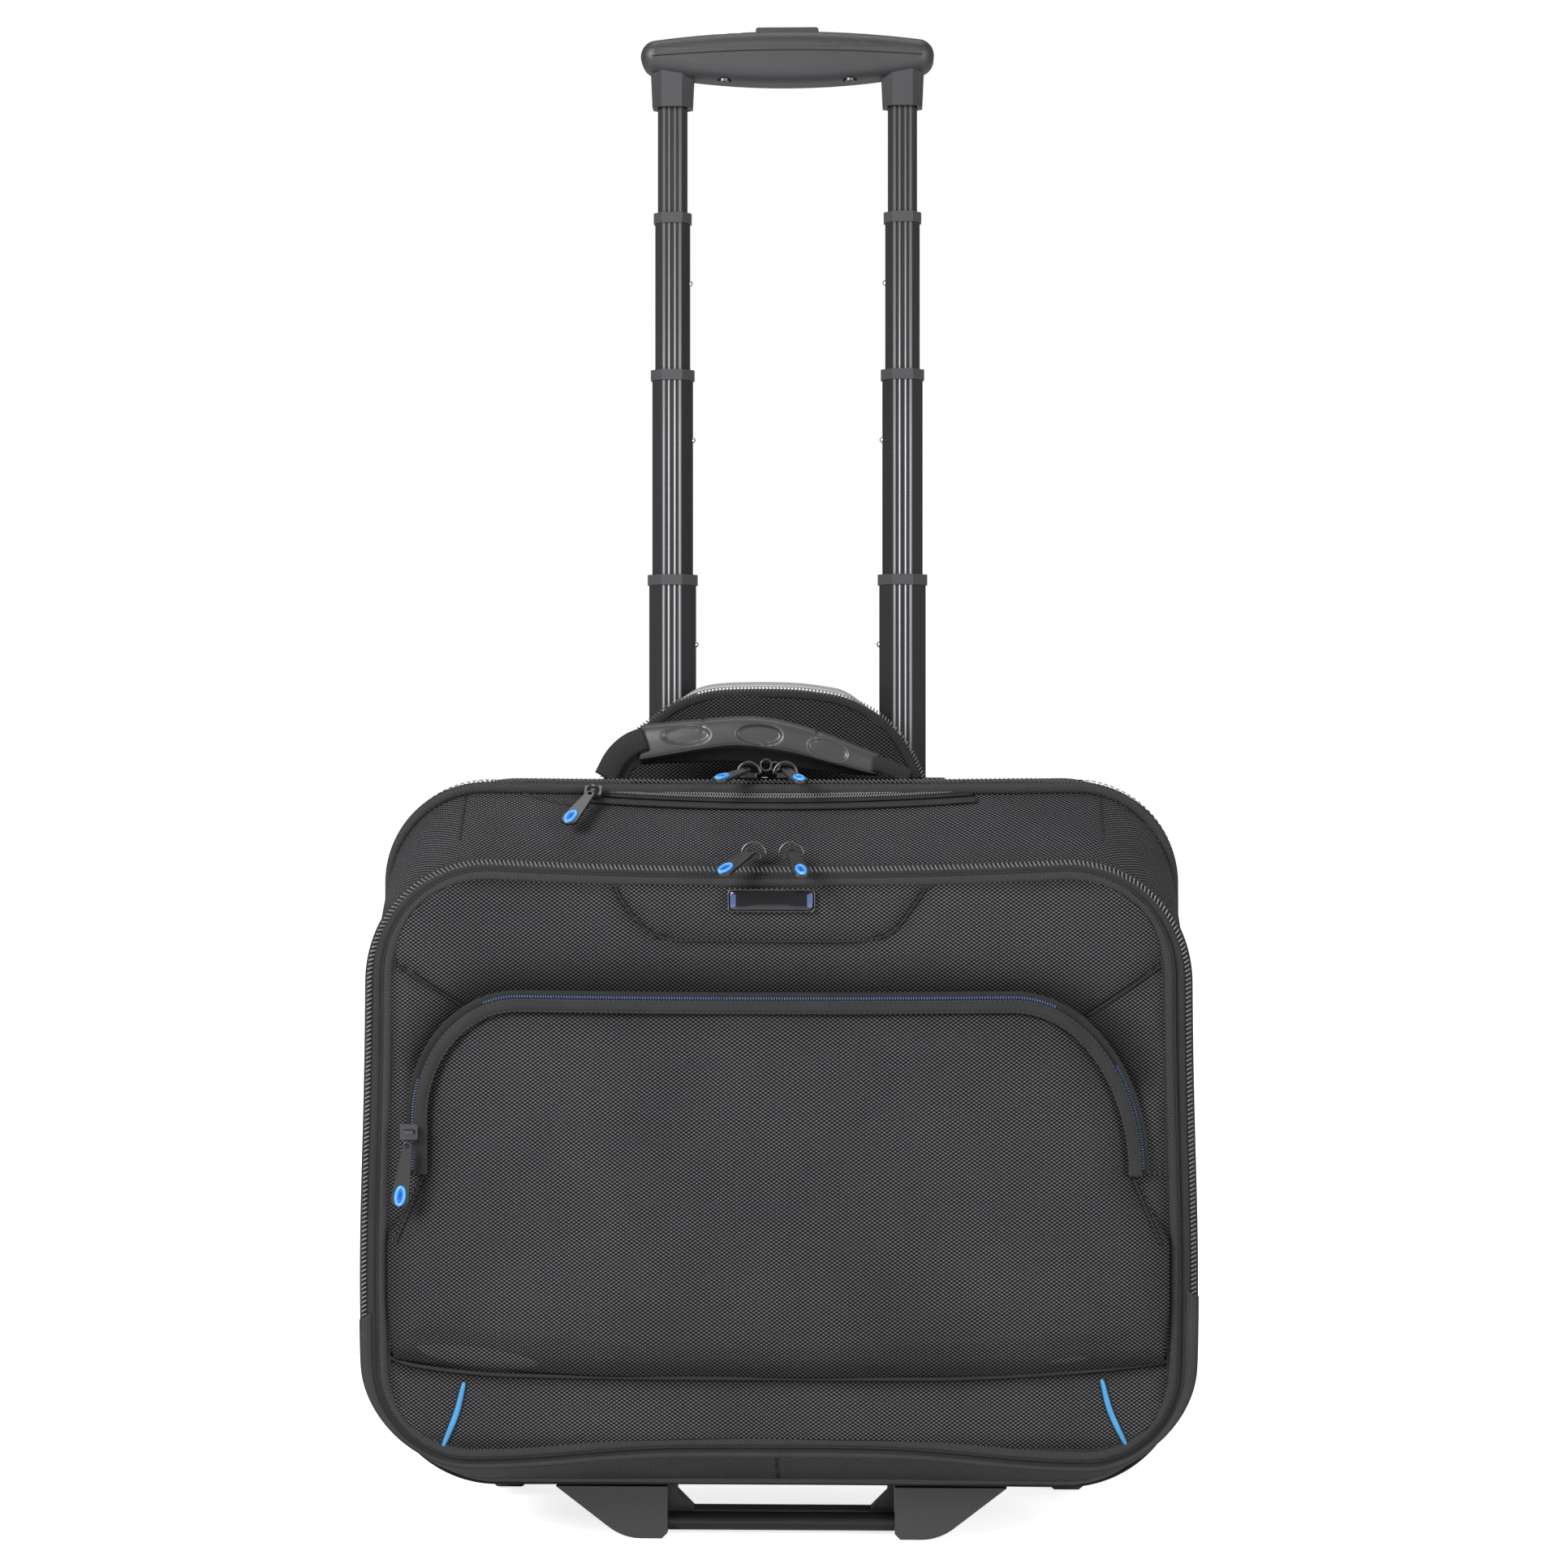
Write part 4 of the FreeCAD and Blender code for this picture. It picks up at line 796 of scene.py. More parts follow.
def front_panel():
    inset = 1.5 * MM
    low, high = FRONT_LOW + inset, FRONT_TOP - inset
    r_low, r_high = 42 * MM, 53 * MM
    rows = rows_between(low, high, r_low, r_high, 200)
    widths = half_width(rows, FRONT_HALF - inset, low, high, r_low, r_high)
    panel = sheet_mesh("front_fabric", rows, widths, 340, panel_relief, M["ballistic"], FRONT_HANG)
    # painted shade in the panel's seams, valley and edges, stored on the mesh
    store_painted_shade(panel, panel_painted_shade)
    thicken(panel, CLOTH)
    fold_with_flap(panel, ("front_panel", "front_lower_panel"))
    fold_with_flap(cord("front_edge_piping", in_plane(front_outline(), FRONT_Y), 2.75, M["piping"], 16,
                        closed=True), ("front_piping",))
    # painted shade: dark cords in the gaps either side of the piping
    for name, grow in (("inner", -3.0), ("outer", 2.9)):
        fold_with_flap(cord("front_piping_shadow_" + name,
                            in_plane(front_outline(grow * MM), FRONT_Y - 0.6 * MM), 0.75, M["seam"],
                            closed=True))


POCKET_TOP = 0.2905
POCKET_HALF = 0.1835
SEAM_Z = 0.0985
POCKET_RISE = {-1: 0.058, 1: 0.0855}
POCKET_TURN = {-1: 0.050, 1: 0.0625}


def pocket_width(z, side):
    """Half width of the pocket on a side (-1 left, 1 right): a long arch, then straight to the lower seam."""
    turn = np.where(side < 0, POCKET_TURN[-1], POCKET_TURN[1])
    rise = np.where(side < 0, POCKET_RISE[-1], POCKET_RISE[1])
    t = np.clip((z - (POCKET_TOP - rise)) / rise, 0, 1)
    width = POCKET_HALF - turn * (1 - np.sqrt(1 - t ** 2))
    spread = 1 - smooth(z, 0.166, 0.205)
    return width + spread * 0.0185 - (1 - smooth(z, SEAM_Z, 0.135)) * 0.003


def foot_rise(x):
    """How much higher the pocket's lower seam runs towards the sides."""
    return 0.009 * (np.abs(x) / 0.2) ** 3


def pocket_relief(x, z):
    """Bellied pocket front, pulled in along its edges."""
    width = pocket_width(z, np.sign(x))
    side = smooth(width - np.abs(x), 0, 22 * MM)
    top = smooth(POCKET_TOP - z, 0, 20 * MM)
    foot = smooth(z - SEAM_Z - foot_rise(x), 0, 20 * MM)
    belly = (1 - np.abs(x / 0.2) ** 2.6) * np.exp(-((z - 0.185) / 0.1) ** 2)
    depth = 4.0 * MM * np.minimum(np.minimum(side, top), foot) + 5.5 * MM * np.clip(belly, 0, 1) * foot
    depth += ripples(x, z, 11, 0.12, 0.0014)
    return FRONT_Y - 4.6 * MM - depth


def pocket_painted_shade(x, z):
    """Painted shade: darker beside the flap band, down in the lower seam and a little over the pocket's lower
    part.
    """
    side = pocket_width(z, np.sign(x)) - np.abs(x)
    mouth = np.exp(-np.minimum(side, POCKET_TOP - z) / (7 * MM)) * 0.55
    foot = 0.70 * np.exp(-((z - SEAM_Z - foot_rise(x)) / (9 * MM)) ** 2)
    broad = 0.16 * smooth(0.150 - z, 0, 0.05)
    return np.maximum(np.maximum(mouth, foot), broad)


def pocket():
    turn = np.linspace(0, math.pi / 2, 46)
    rise = POCKET_RISE[1]
    rows = np.concatenate([np.linspace(SEAM_Z, POCKET_TOP - rise, 90)[:-1],
                           POCKET_TOP - rise + rise * np.sin(turn)])
    widths = (pocket_width(rows, -np.ones(len(rows))), pocket_width(rows, np.ones(len(rows))))
    sheet = sheet_mesh("pocket_fabric", rows, widths, 230, pocket_relief, M["ballistic"])
    coords = vertex_places(sheet)
    coords[:, 2] += foot_rise(coords[:, 0]) * (1 - smooth(coords[:, 2], SEAM_Z, 0.16))
    sheet.data.vertices.foreach_set("co", coords.ravel())
    # painted shade along the pocket's mouth and lower seam, stored on the mesh
    store_painted_shade(sheet, pocket_painted_shade)
    thicken(sheet, 2.0 * MM)
    fold_with_flap(sheet, ("front_pocket",))


BAND_OFF = 0.6


def pocket_arch(grow, z_end):
    """Line that follows the pocket's mouth at a distance from its inner edge, right end first."""
    quarter = np.linspace(0, math.pi / 2, 60)
    sides = []
    for side in (1, -1):
        turn = POCKET_TURN[side]
        rise = POCKET_RISE[side]
        base = POCKET_TOP - rise
        x = POCKET_HALF - turn + (turn + grow) * np.cos(quarter)
        z = base + (rise + grow) * np.sin(quarter)
        x = np.concatenate([[x[0]], x])
        z = np.concatenate([[min(z_end, base - 1 * MM)], z])
        sides.append(np.stack([side * x, z], 1)[z >= z_end - 1e-9])
    points = resample(np.concatenate([sides[0], sides[1][::-1]]), 420)
    x, z = points[:, 0], points[:, 1]
    dip = -1.2 * MM * np.cos(np.clip(x / 0.15, -1, 1) * math.pi / 2) * smooth(z, 0.27, 0.29)
    return np.stack([x, z + dip], 1)


def lay_on(points, relief, lift):
    """Puts (x, z) points on a relief, a little in front of it."""
    y = relief(points[:, 0], points[:, 1])
    return np.stack([points[:, 0], y - lift, points[:, 1]], 1)


def pocket_mouth():
    """Smooth flap band over the pocket's zip, and the muted blue coil beside it."""
    line = pocket_arch(BAND_OFF * MM, 0.2035)
    y = np.full(len(line), FRONT_Y - 8.6 * MM)
    place(tape("pocket_flap_band", in_plane(line, y), 7.4, 2.0, M["tape"], 1.6),
          "front_flap", "smooth_fabric")
    for name, offset in (("inner", -2.9), ("outer", 2.9)):
        edge = pocket_arch((BAND_OFF + offset) * MM, 0.2045)
        place(row_of("pocket_band_stitch_" + name, in_plane(edge, FRONT_Y - 10.1 * MM), BAND_STITCH,
                     M["thread"]), "front_flap", "smooth_fabric")
    coil_line = pocket_arch(4.9 * MM, 0.2060)
    over = (coil_line[:, 0] > -0.152) & (coil_line[:, 0] < 0.1435)
    right = (coil_line[:, 0] > 0) & (coil_line[:, 1] < 0.2600)
    left = (coil_line[:, 0] < 0) & (coil_line[:, 1] < 0.2520)
    for end, shown in (("", over), ("_right", right), ("_left", left)):
        place(row_of("pocket_zip_coil" + end, in_plane(coil_line[shown], FRONT_Y - 7.4 * MM), POCKET_TEETH,
                     M["coil_blue"], 72),
              "front_flap", "pocket_coil", () if end else ("pocket_zip",))
    place(tape("pocket_zip_tape", in_plane(pocket_arch(5.0 * MM, 0.204), FRONT_Y - 6.4 * MM), 6.5, 1.2,
               M["binding"]), "front_flap", "smooth_fabric")


def seam_line(name, chain, relief, body, stitch_side=0.0, lift=1.35, thick=0.6):
    """A sewn seam: a dark cord laid in its fold as painted shade, with a row of stitches beside it where they
    show.
    """
    path = lay_on(chain, relief, lift * MM)
    groove = cord(name + "_fold", path, thick, M["seam"], 8, 0.6)
    _, side, _ = frames_along(path, FORWARD, False)
    beside = path + side * stitch_side * 1.9 * MM
    beside[:, 1] = relief(beside[:, 0], beside[:, 2]) - 0.12 * MM
    place(groove, body, "smooth_fabric")
    if stitch_side:
        place(row_of(name + "_stitch", beside, SEAM_STITCH, M["thread"]), body, "smooth_fabric")


def front_seams():
    seam_line("name_panel_seam", NAME_SEAM, panel_relief, "front_flap")
    seam_line("left_shoulder_seam", LEFT_SEAM, panel_relief, "front_flap")
    seam_line("right_shoulder_seam", RIGHT_SEAM, panel_relief, "front_flap")
    seam_line("lower_seam", LOWER_SEAM, panel_relief, "front_section", lift=2.3, thick=1.0)
    for side in (-1, 1):
        gusset = spline([(side * 0.1830, 0.2030), (side * 0.1890, 0.1880), (side * 0.1975, 0.1680)], 20)
        seam_line("pocket_%s_dart" % hand(side), gusset, pocket_relief, "front_flap", stitch_side=-side)
    tuck = spline([(0.1815, 0.2042), (0.1900, 0.2046), (0.1985, 0.2050)], 12)
    seam_line("pocket_right_tuck", tuck, pocket_relief, "front_flap", lift=0.8)


def blue_strips():
    """Two moulded blue strips in the lower corners, bowed and tapering to their ends."""
    for name, chain in (("left", [(-0.1620, 0.0955), (-0.1662, 0.0790), (-0.1735, 0.0614)]),
                        ("right", [(0.1672, 0.0984), (0.1718, 0.0815), (0.1798, 0.0644)])):
        line = spline(chain, 24)
        path = lay_on(line, panel_relief, 0.9 * MM)
        strip = cord("blue_strip_" + name, path, 1.55, M["blue"], 12, 0.7)
        taper_ends(strip, path)
        place(strip, "front_section", "smooth_fabric")
        # painted shadow under and round each blue strip
        place(cord("blue_strip_shadow_" + name, lay_on(line, panel_relief, 0.1 * MM), 2.2, M["seam"], 10, 0.35),
              "front_section", "smooth_fabric")


def taper_ends(item, path):
    """Narrows a swept strip towards both ends."""
    count = len(path)
    for k, vertex in enumerate(item.data.vertices):
        row = min(k * count // len(item.data.vertices), count - 1)
        share = row / (count - 1)
        size = 0.55 + 0.45 * math.sin(math.pi * share) ** 0.6
        middle = Vector(path[row])
        vertex.co = middle + (vertex.co - middle) * size


def name_plate():
    """Glossy plate with a thin metal rim and muted blue ends, left blank."""
    low, high = corners("name_plate")
    centre = (low + high) / 2
    size = high - low
    outline = rounded_patch(centre, size[0] / 2 + 0.3 * MM, size[2] / 2 + 0.3 * MM, 1.6 * MM)
    place(cord("name_plate_rim", in_plane(outline, low[1] - 0.75 * MM), 0.38, M["plate_rim"], closed=True),
          "front_flap", "plate_gloss")
    face = domed_patch("name_plate_face", centre, size[0] / 2, size[2] / 2, low[1] - 0.3 * MM, 0.9 * MM,
                       M["plate"])
    place(face, "front_flap", "plate_gloss")
    for side in (-1, 1):
        spot = centre + np.array([side * (size[0] / 2 - 2.2 * MM), 0, 0])
        end = domed_patch("name_plate_end_%s" % (hand(side)), spot, 1.5 * MM,
                          size[2] / 2 - 1.6 * MM, low[1] - 0.75 * MM, 0.4 * MM, M["plate_blue"])
        place(end, "front_flap", "plate_gloss")


def rounded_patch(centre, half_x, half_z, radius, count=80):
    points = rounded(half_x, -half_z, half_z, radius, radius, count)
    return points + np.array([centre[0], centre[2]])


def domed_patch(name, centre, half_x, half_z, y, crown, material):
    """Small cushion-shaped plate facing the front."""
    rings = []
    for scale, rise in ((1.0, -0.8), (1.0, 0.0), (0.96, 0.45), (0.85, 0.8), (0.6, 1.0), (0.25, 1.05)):
        points = rounded_patch(centre, half_x * scale, half_z * scale, min(half_x, half_z) * 0.45 * scale)
        rings.append(in_plane(points, y - crown * rise))
    rows = len(rings)
    columns = len(rings[0])
    faces = grid_faces(rows, columns, wrap_columns=True)
    faces += [face[::-1] for face in reversed(end_faces(rows, columns))]
    return new_piece(name, np.concatenate(rings), faces, material)


# ---------------------------------------------------------------- gussets, zips and piping


def loft(name, rings, material, closed=True):
    faces = grid_faces(len(rings), len(rings[0]), wrap_columns=closed)
    item = new_piece(name, np.concatenate(rings), faces, material)
    store_cloth(item, np.asarray(rings))
    return item


def store_cloth(item, rings):
    """Lengths along the middle ring and across the rings, so a woven pattern follows the cloth."""
    middle = rings[len(rings) // 2]
    along = np.concatenate([[0], np.cumsum(np.linalg.norm(np.diff(middle, axis=0), axis=1))])
    across = np.linalg.norm(np.diff(rings, axis=0), axis=2).mean(1)
    across = np.concatenate([[0], np.cumsum(across)])
    cloth = np.ones(rings.shape)
    cloth[:, :, 0] = along[None]
    cloth[:, :, 1] = across[:, None]
    layer = item.data.attributes.new("cloth", "FLOAT_VECTOR", "POINT")
    layer.data.foreach_set("vector", cloth.ravel())


GUSSET_FRONT_Y = FRONT_Y + 7 * MM
GUSSET_REAR_Y = DIVIDE_Y - 5 * MM


def middle_ring(t):
    """Cross-outline of the front compartment's gusset, from the front zip (0) to the divider (1)."""
    a = front_outline(8 * MM, 6 * MM)
    b = rear_outline(-3.2 * MM)
    points = a * (1 - t) + b * t
    belly = math.sin(math.pi * t)
    away = points - BAG_MIDDLE
    away /= np.linalg.norm(away, axis=1)[:, None]
    side = smooth(np.abs(points[:, 0]), 0.15, 0.21)
    crown = np.where(points[:, 1] > 0.3, 1.0, 1.6)
    points = points + away * (belly * (3.0 * side + 1.2 * crown * (1 - side)) * MM)[:, None]
    y = GUSSET_FRONT_Y * (1 - t) + GUSSET_REAR_Y * t
    return in_plane(points, y)


def middle_section():
    rings = []
    for t in np.linspace(0, 1, 30):
        ring = middle_ring(t)
        bump = ripples(ring[:, 0] + ring[:, 1] * 2, ring[:, 2], 5, 0.08, 0.0007) * math.sin(math.pi * t)
        ring[:, 2] += bump
        rings.append(ring)
    gusset = loft("middle_gusset", rings, M["ballistic"])
    thicken(gusset, CLOTH)
    place(gusset, "front_section", "ballistic_fabric", ("middle_shell",))
    # painted shade: dark cords in the gusset's two corner seams
    for name, x in (("left", -0.168), ("right", 0.170)):
        z = np.linspace(0.3755, 0.3985, 16)
        line = slope_point(np.full(16, x), z, 0.25 * MM)
        place(cord("gusset_corner_seam_shadow_" + name, line, 0.55, M["seam"], 8, 0.6, outward=SLOPE_OUT),
              "front_section", "smooth_fabric")
    wall_rows = rows_between(BAG_LOW + 4 * MM, BAG_TOP - 4 * MM, 56 * MM, 52 * MM, 40)
    wall_width = half_width(wall_rows, BAG_HALF - 6 * MM, BAG_LOW + 4 * MM, BAG_TOP - 4 * MM,
                            56 * MM, 52 * MM)
    wall = sheet_mesh("divider_wall", wall_rows, wall_width, 60,
                      lambda x, z: DIVIDE_Y - 6 * MM + ripples(x, z, 8, 0.1, 0.0008), M["lining"])
    thicken(wall, 2.0 * MM, 1.0)
    place(wall, "front_section", "ballistic_fabric")
    line = above(rear_outline(-2.6 * MM), 0.080, 0.080)
    place(cord("middle_edge_piping", in_plane(line, DIVIDE_Y - 7.5 * MM), 3.1, M["piping"], 14),
          "front_section", "smooth_fabric")


def front_zip():
    """Coil zip round the front panel, its tape and the cloth boot over its two ends."""
    z_left, z_right = 0.1315, 0.1460
    line = above(front_outline(10.2 * MM, 6.8 * MM), z_left - 8 * MM, z_right - 8 * MM)
    path = in_plane(line, FRONT_Y + 1.2 * MM)
    place(row_of("front_zip_coil", path, FRONT_TEETH, M["coil"], 62),
          "front_section", "coil_zip", ("front_zipper",))
    full = front_outline(5.6 * MM, 4.0 * MM)
    place(tape("front_zip_tape", in_plane(full, FRONT_Y + 2.2 * MM), 6.4, 1.2, M["tape"], 0.8, closed=True),
          "front_section", "smooth_fabric")
    # painted shadow behind the coil's teeth
    place(tape("front_zip_shadow_bed", in_plane(line, FRONT_Y + 3.0 * MM), 4.8, 1.2, M["zip_shadow_bed"]),
          "front_section", "smooth_fabric")
    boot = lower_boot(z_left, z_right)
    place(boot, "front_section", "moulded_plastic", ("zipper_end_caps",))


def lower_boot(z_left, z_right):
    """Fabric layer that covers the zip's two ends and wraps under the front compartment."""
    inner = front_outline(5.2 * MM, 4.0 * MM)
    outer = front_outline(13.0 * MM, 7.0 * MM)
    rest = front_outline(8.6 * MM, 6.0 * MM)
    limit = np.where(inner[:, 0] < 0, z_left, z_right)
    kept = np.flatnonzero(inner[:, 1] < limit)
    start = kept[np.flatnonzero(np.diff(kept) > 1)[0] + 1]
    order = [(start + k) % len(inner) for k in range(len(kept))]
    height = inner[order, 1]
    flare = smooth(height, 0.050, 0.115)[:, None]
    edge = outer[order] * flare + rest[order] * (1 - flare)
    profile = ((0.0, 1.4), (0.25, -0.2), (0.6, -1.0), (0.85, -0.4), (1.0, 2.0), (1.0, 12.0), (0.92, 20.0))
    rings = [in_plane(inner[order] * (1 - share) + edge * share, FRONT_Y + depth * MM)
             for share, depth in profile]
    boot = loft("lower_boot", rings, M["boot"], closed=False)
    return thicken(boot, BOOT_CLOTH)


def main_zip():
    """Coil zip between the front section and the main compartment."""
    line = above(rear_outline(-0.4 * MM), 0.075, 0.075)
    crest = (1 - smooth(np.abs(line[:, 0]), 0.130, 0.172)) * (line[:, 1] > 0.3)
    line[:, 1] += 2.2 * MM * crest
    path = in_plane(line, DIVIDE_Y - 2.0 * MM)
    place(row_of("main_zip_coil", path, MAIN_TEETH, M["main_coil"], 36, lift=0.3 * MM),
          "case", "coil_zip", ("main_zipper",))
    ring = rear_outline(-1.4 * MM)
    place(tape("main_zip_tape", in_plane(ring, DIVIDE_Y - 2.0 * MM), 9, 1.2, M["tape"], outward=radial(ring),
               closed=True), "case", "smooth_fabric")


def radial(points):
    """Outward directions of a closed outline, in its plane."""
    away = points - BAG_MIDDLE
    box = away / np.array([0.21, 0.19])
    power = np.sign(box) * np.abs(box) ** 7
    power /= np.linalg.norm(power, axis=1)[:, None] + 1e-9
    return np.stack([power[:, 0], np.zeros(len(points)), power[:, 1]], 1)


def main_bag():
    """Gusset of the main compartment, its back, the back piping and the side seams."""
    rings = []
    for t in np.linspace(0, 1, 40):
        belly = math.sin(math.pi * t)
        points = rear_outline(0.0)
        away = radial(points)[:, [0, 2]]
        side = smooth(np.abs(points[:, 0]), 0.16, 0.21)
        points = points + away * (belly * (3.0 * side + 0.6) * MM)[:, None]
        y = (DIVIDE_Y + 1 * MM) * (1 - t) + (BACK_Y - 4 * MM) * t
        ring = in_plane(points, y)
        wave = ripples(ring[:, 0] * 2 + ring[:, 1], ring[:, 2], 17, 0.08, 0.0009) * belly
        ring[:, 0] += away[:, 0] * wave
        ring[:, 2] += away[:, 1] * wave
        rings.append(ring)
    gusset = loft("bag_gusset", rings, M["ballistic"])
    thicken(gusset, CLOTH)
    cut_wheel_wells(gusset)
    cut_handle_mouth(gusset)
    place(gusset, "case", "ballistic_fabric", ("main_shell",))
    rows = rows_between(BAG_LOW + 3 * MM, BAG_TOP - 3 * MM, 57 * MM, 52 * MM, 70)
    widths = half_width(rows, BAG_HALF - 4.5 * MM, BAG_LOW + 3 * MM, BAG_TOP - 3 * MM, 57 * MM, 52 * MM)
    back = sheet_mesh("bag_back", rows, widths, 150, back_relief, M["ballistic"])
    thicken(back, BACK_CLOTH, 1.0)
    cut_wheel_wells(back)
    place(back, "case", "ballistic_fabric", ("back_panel",))
    piping = cord("back_edge_piping", in_plane(rear_outline(-0.4 * MM), BACK_Y - 3.4 * MM), 3.2,
                  M["piping"], 14, closed=True)
    cut_wheel_wells(piping)
    place(piping, "case", "smooth_fabric")
    for name, y in (("front", DIVIDE_Y + 12 * MM), ("rear", BACK_Y - 14 * MM)):
        ring = rear_outline(1.6 * MM if name == "front" else 1.2 * MM)
        stitches = row_of("gusset_stitch_" + name, in_plane(ring, y), GUSSET_STITCH, M["thread"],
                          outward=radial(ring), lift=0.1 * MM)
        cut_wheel_wells(stitches)
        cut_handle_mouth(stitches)
        place(stitches, "case", "smooth_fabric")


def back_relief(x, z):
    """Flat padded back with a pressed channel either side of the handle tubes."""
    edge = np.minimum(BAG_HALF - np.abs(x), np.minimum(z - BAG_LOW, BAG_TOP - z))
    depth = 2.0 * MM * smooth(edge, 4 * MM, 26 * MM)
    for line in (-0.1, 0.1):
        depth -= 1.2 * MM * np.exp(-((x - line) / (2.5 * MM)) ** 2)
    return BACK_Y - 2.4 * MM + depth + ripples(x, z, 23, 0.1, 0.0008)


def cut_faces(item, inside):
    """Takes away the faces whose middle lies where inside says."""
    bm = bmesh.new()
    bm.from_mesh(item.data)
    gone = [face for face in bm.faces if inside(face.calc_center_median())]
    bmesh.ops.delete(bm, geom=gone, context="FACES")
    bm.to_mesh(item.data)
    bm.free()


def cut_wheel_wells(item):
    """Opens the fabric round the wheel housings."""
    for side in ("left", "right"):
        low, high = corners("wheel_housing_" + side)
        low = low - 1 * MM
        high = high + 1 * MM
        cut_faces(item, lambda c: low[0] < c.x < high[0] and c.y > low[1] and c.z < high[2])


def cut_handle_mouth(item):
    """Opens the top of the bag where the pull handle's bezel is let in."""
    low, high = corners("handle_bezel")
    cut_faces(item, lambda c: low[0] < c.x < high[0] and low[1] < c.y < high[1] and c.z > low[2] - 4 * MM)


# ---------------------------------------------------------------- top slope pocket


def slope_point(x, z, lift=0.0):
    """A point on the top slope of the front compartment at a given x and height."""
    x = np.asarray(x, float)
    z = np.asarray(z, float)
    y = np.empty_like(x)
    table = [middle_ring(t) for t in np.linspace(0, 1, 25)]
    for i, (px, pz) in enumerate(zip(x, z)):
        heights = []
        for ring in table:
            top = ring[ring[:, 2] > 0.3]
            heights.append(np.interp(px, top[::-1, 0], top[::-1, 2]))
        y[i] = np.interp(pz, heights, [ring[0, 1] for ring in table])
    return np.stack([x, y, z], 1) + SLOPE_OUT * lift


def top_pocket():
    """Small zip pocket in the top slope: lip, coil, tape and a dark cord as painted shade in the tucked fold
    beside it.
    """
    x = np.linspace(-0.101, 0.102, 90)
    z = 0.4011 - 4.0 * MM * (1 - (x / 0.105) ** 2)
    path = slope_point(x, z, 1.4 * MM)
    for k, side in enumerate((-1, 1)):
        row = path + SLOPE_UP * side * 1.15 * MM
        place(row_of("top_pocket_coil_%d" % k, row, TOP_TEETH, M["coil_fine"], side * 60, outward=SLOPE_OUT,
                     lift=0.8 * MM),
              "front_section", "coil_zip", ("top_pocket_zip",) if k == 0 else ())
    place(tape("top_pocket_tape", path, 9.5, 1.0, M["binding"], outward=SLOPE_OUT),
          "front_section", "smooth_fabric")
    x = np.linspace(-0.106, 0.104, 110)
    z = 0.3968 - 4.0 * MM * (1 - (x / 0.108) ** 2)
    place(tape("top_pocket_lip", slope_point(x, z - 1.0 * MM, 1.5 * MM), 4.2, 1.2, M["tape"], 0.8,
               outward=SLOPE_OUT), "front_section", "smooth_fabric")
    # painted shade in the tucked fold
    tuck = spline([(-0.1420, 0.4020), (-0.1330, 0.3985), (-0.1180, 0.3945), (-0.1020, 0.3925)], 30)
    place(cord("top_pocket_tuck_shadow", slope_point(tuck[:, 0], tuck[:, 1], 0.5 * MM), 0.8, M["seam"], 8, 0.6,
               outward=SLOPE_OUT), "front_section", "smooth_fabric")


# ---------------------------------------------------------------- hood and carry grip

HOOD_LINE = spline([(-0.1050, 0.4075), (-0.0975, 0.4230), (-0.0862, 0.4341), (-0.0762, 0.4419),
                    (-0.0640, 0.4508), (-0.0529, 0.4552), (-0.0396, 0.4580), (-0.0196, 0.4588),
                    (0.0026, 0.4585), (0.0192, 0.4569), (0.0359, 0.4535), (0.0525, 0.4452),
                    (0.0636, 0.4352), (0.0714, 0.4241), (0.0790, 0.4080)], 150)


def hood():
    """Zipped hood over the lowered handle: front in a darker copy of the nylon as painted shade, zip round
    its edge, and the top gusset above coloured light grey as painted sheen.
    """
    low, high = corners("hood_shell")
    y = low[1] + 2 * MM
    line = HOOD_LINE
    base_z = BAG_TOP - 1.2 * MM
    centre = np.array([-0.012, base_z])
    rings = []
    for scale in np.linspace(0.985, 0.04, 26):
        points = centre + (line - centre) * scale
        points[:, 1] = np.maximum(points[:, 1], base_z)
        swell = -2.2 * MM * (1 - scale ** 2)
        rings.append(in_plane(points, y + swell + ripples(points[:, 0], points[:, 1], 31, 0.05, 0.0008)))
    # painted shade: the hood front uses a darker copy of the nylon
    panel = new_piece("hood_panel", np.concatenate(rings), grid_faces(len(rings), len(line)),
                      M["shaded_ballistic"])
    thicken(panel, HOOD_CLOTH)
    place(panel, "hood", "ballistic_fabric", ("hood_shell",))
    place(tape("hood_zip_tape", in_plane(centre + (line - centre) * 0.950, y - 1.6 * MM), 5.0, 1.2,
               M["binding"], 0.5), "hood", "smooth_fabric")
    place(row_of("hood_zip_coil", in_plane(centre + (line - centre) * 0.992, y - 2.2 * MM), HOOD_TEETH,
                 M["main_coil"], 66), "hood", "coil_zip")
    crown = smooth(line[:, 0], -0.074, -0.048) * (1 - smooth(line[:, 0], 0.030, 0.060))
    rings = []
    for t in np.linspace(0, 1, 12):
        points = line.copy()
        points[:, 1] += crown * 4.2 * MM * math.sin(math.pi * (0.15 + 0.45 * t)) - 1.5 * MM * (1 - crown)
        points[:, 0] = centre[0] + (points[:, 0] - centre[0]) * (0.975 - 0.01 * t)
        points[:, 1] = np.maximum(points[:, 1], base_z)
        rings.append(in_plane(points, y + 0.5 * MM + (high[1] - low[1] - 4 * MM) * t))
    # painted sheen: the top gusset is coloured light grey
    gusset = loft("hood_gusset", rings, M["painted_sheen_grey"], closed=False)
    thicken(gusset, LINING_CLOTH)
    place(gusset, "hood", "ballistic_fabric")


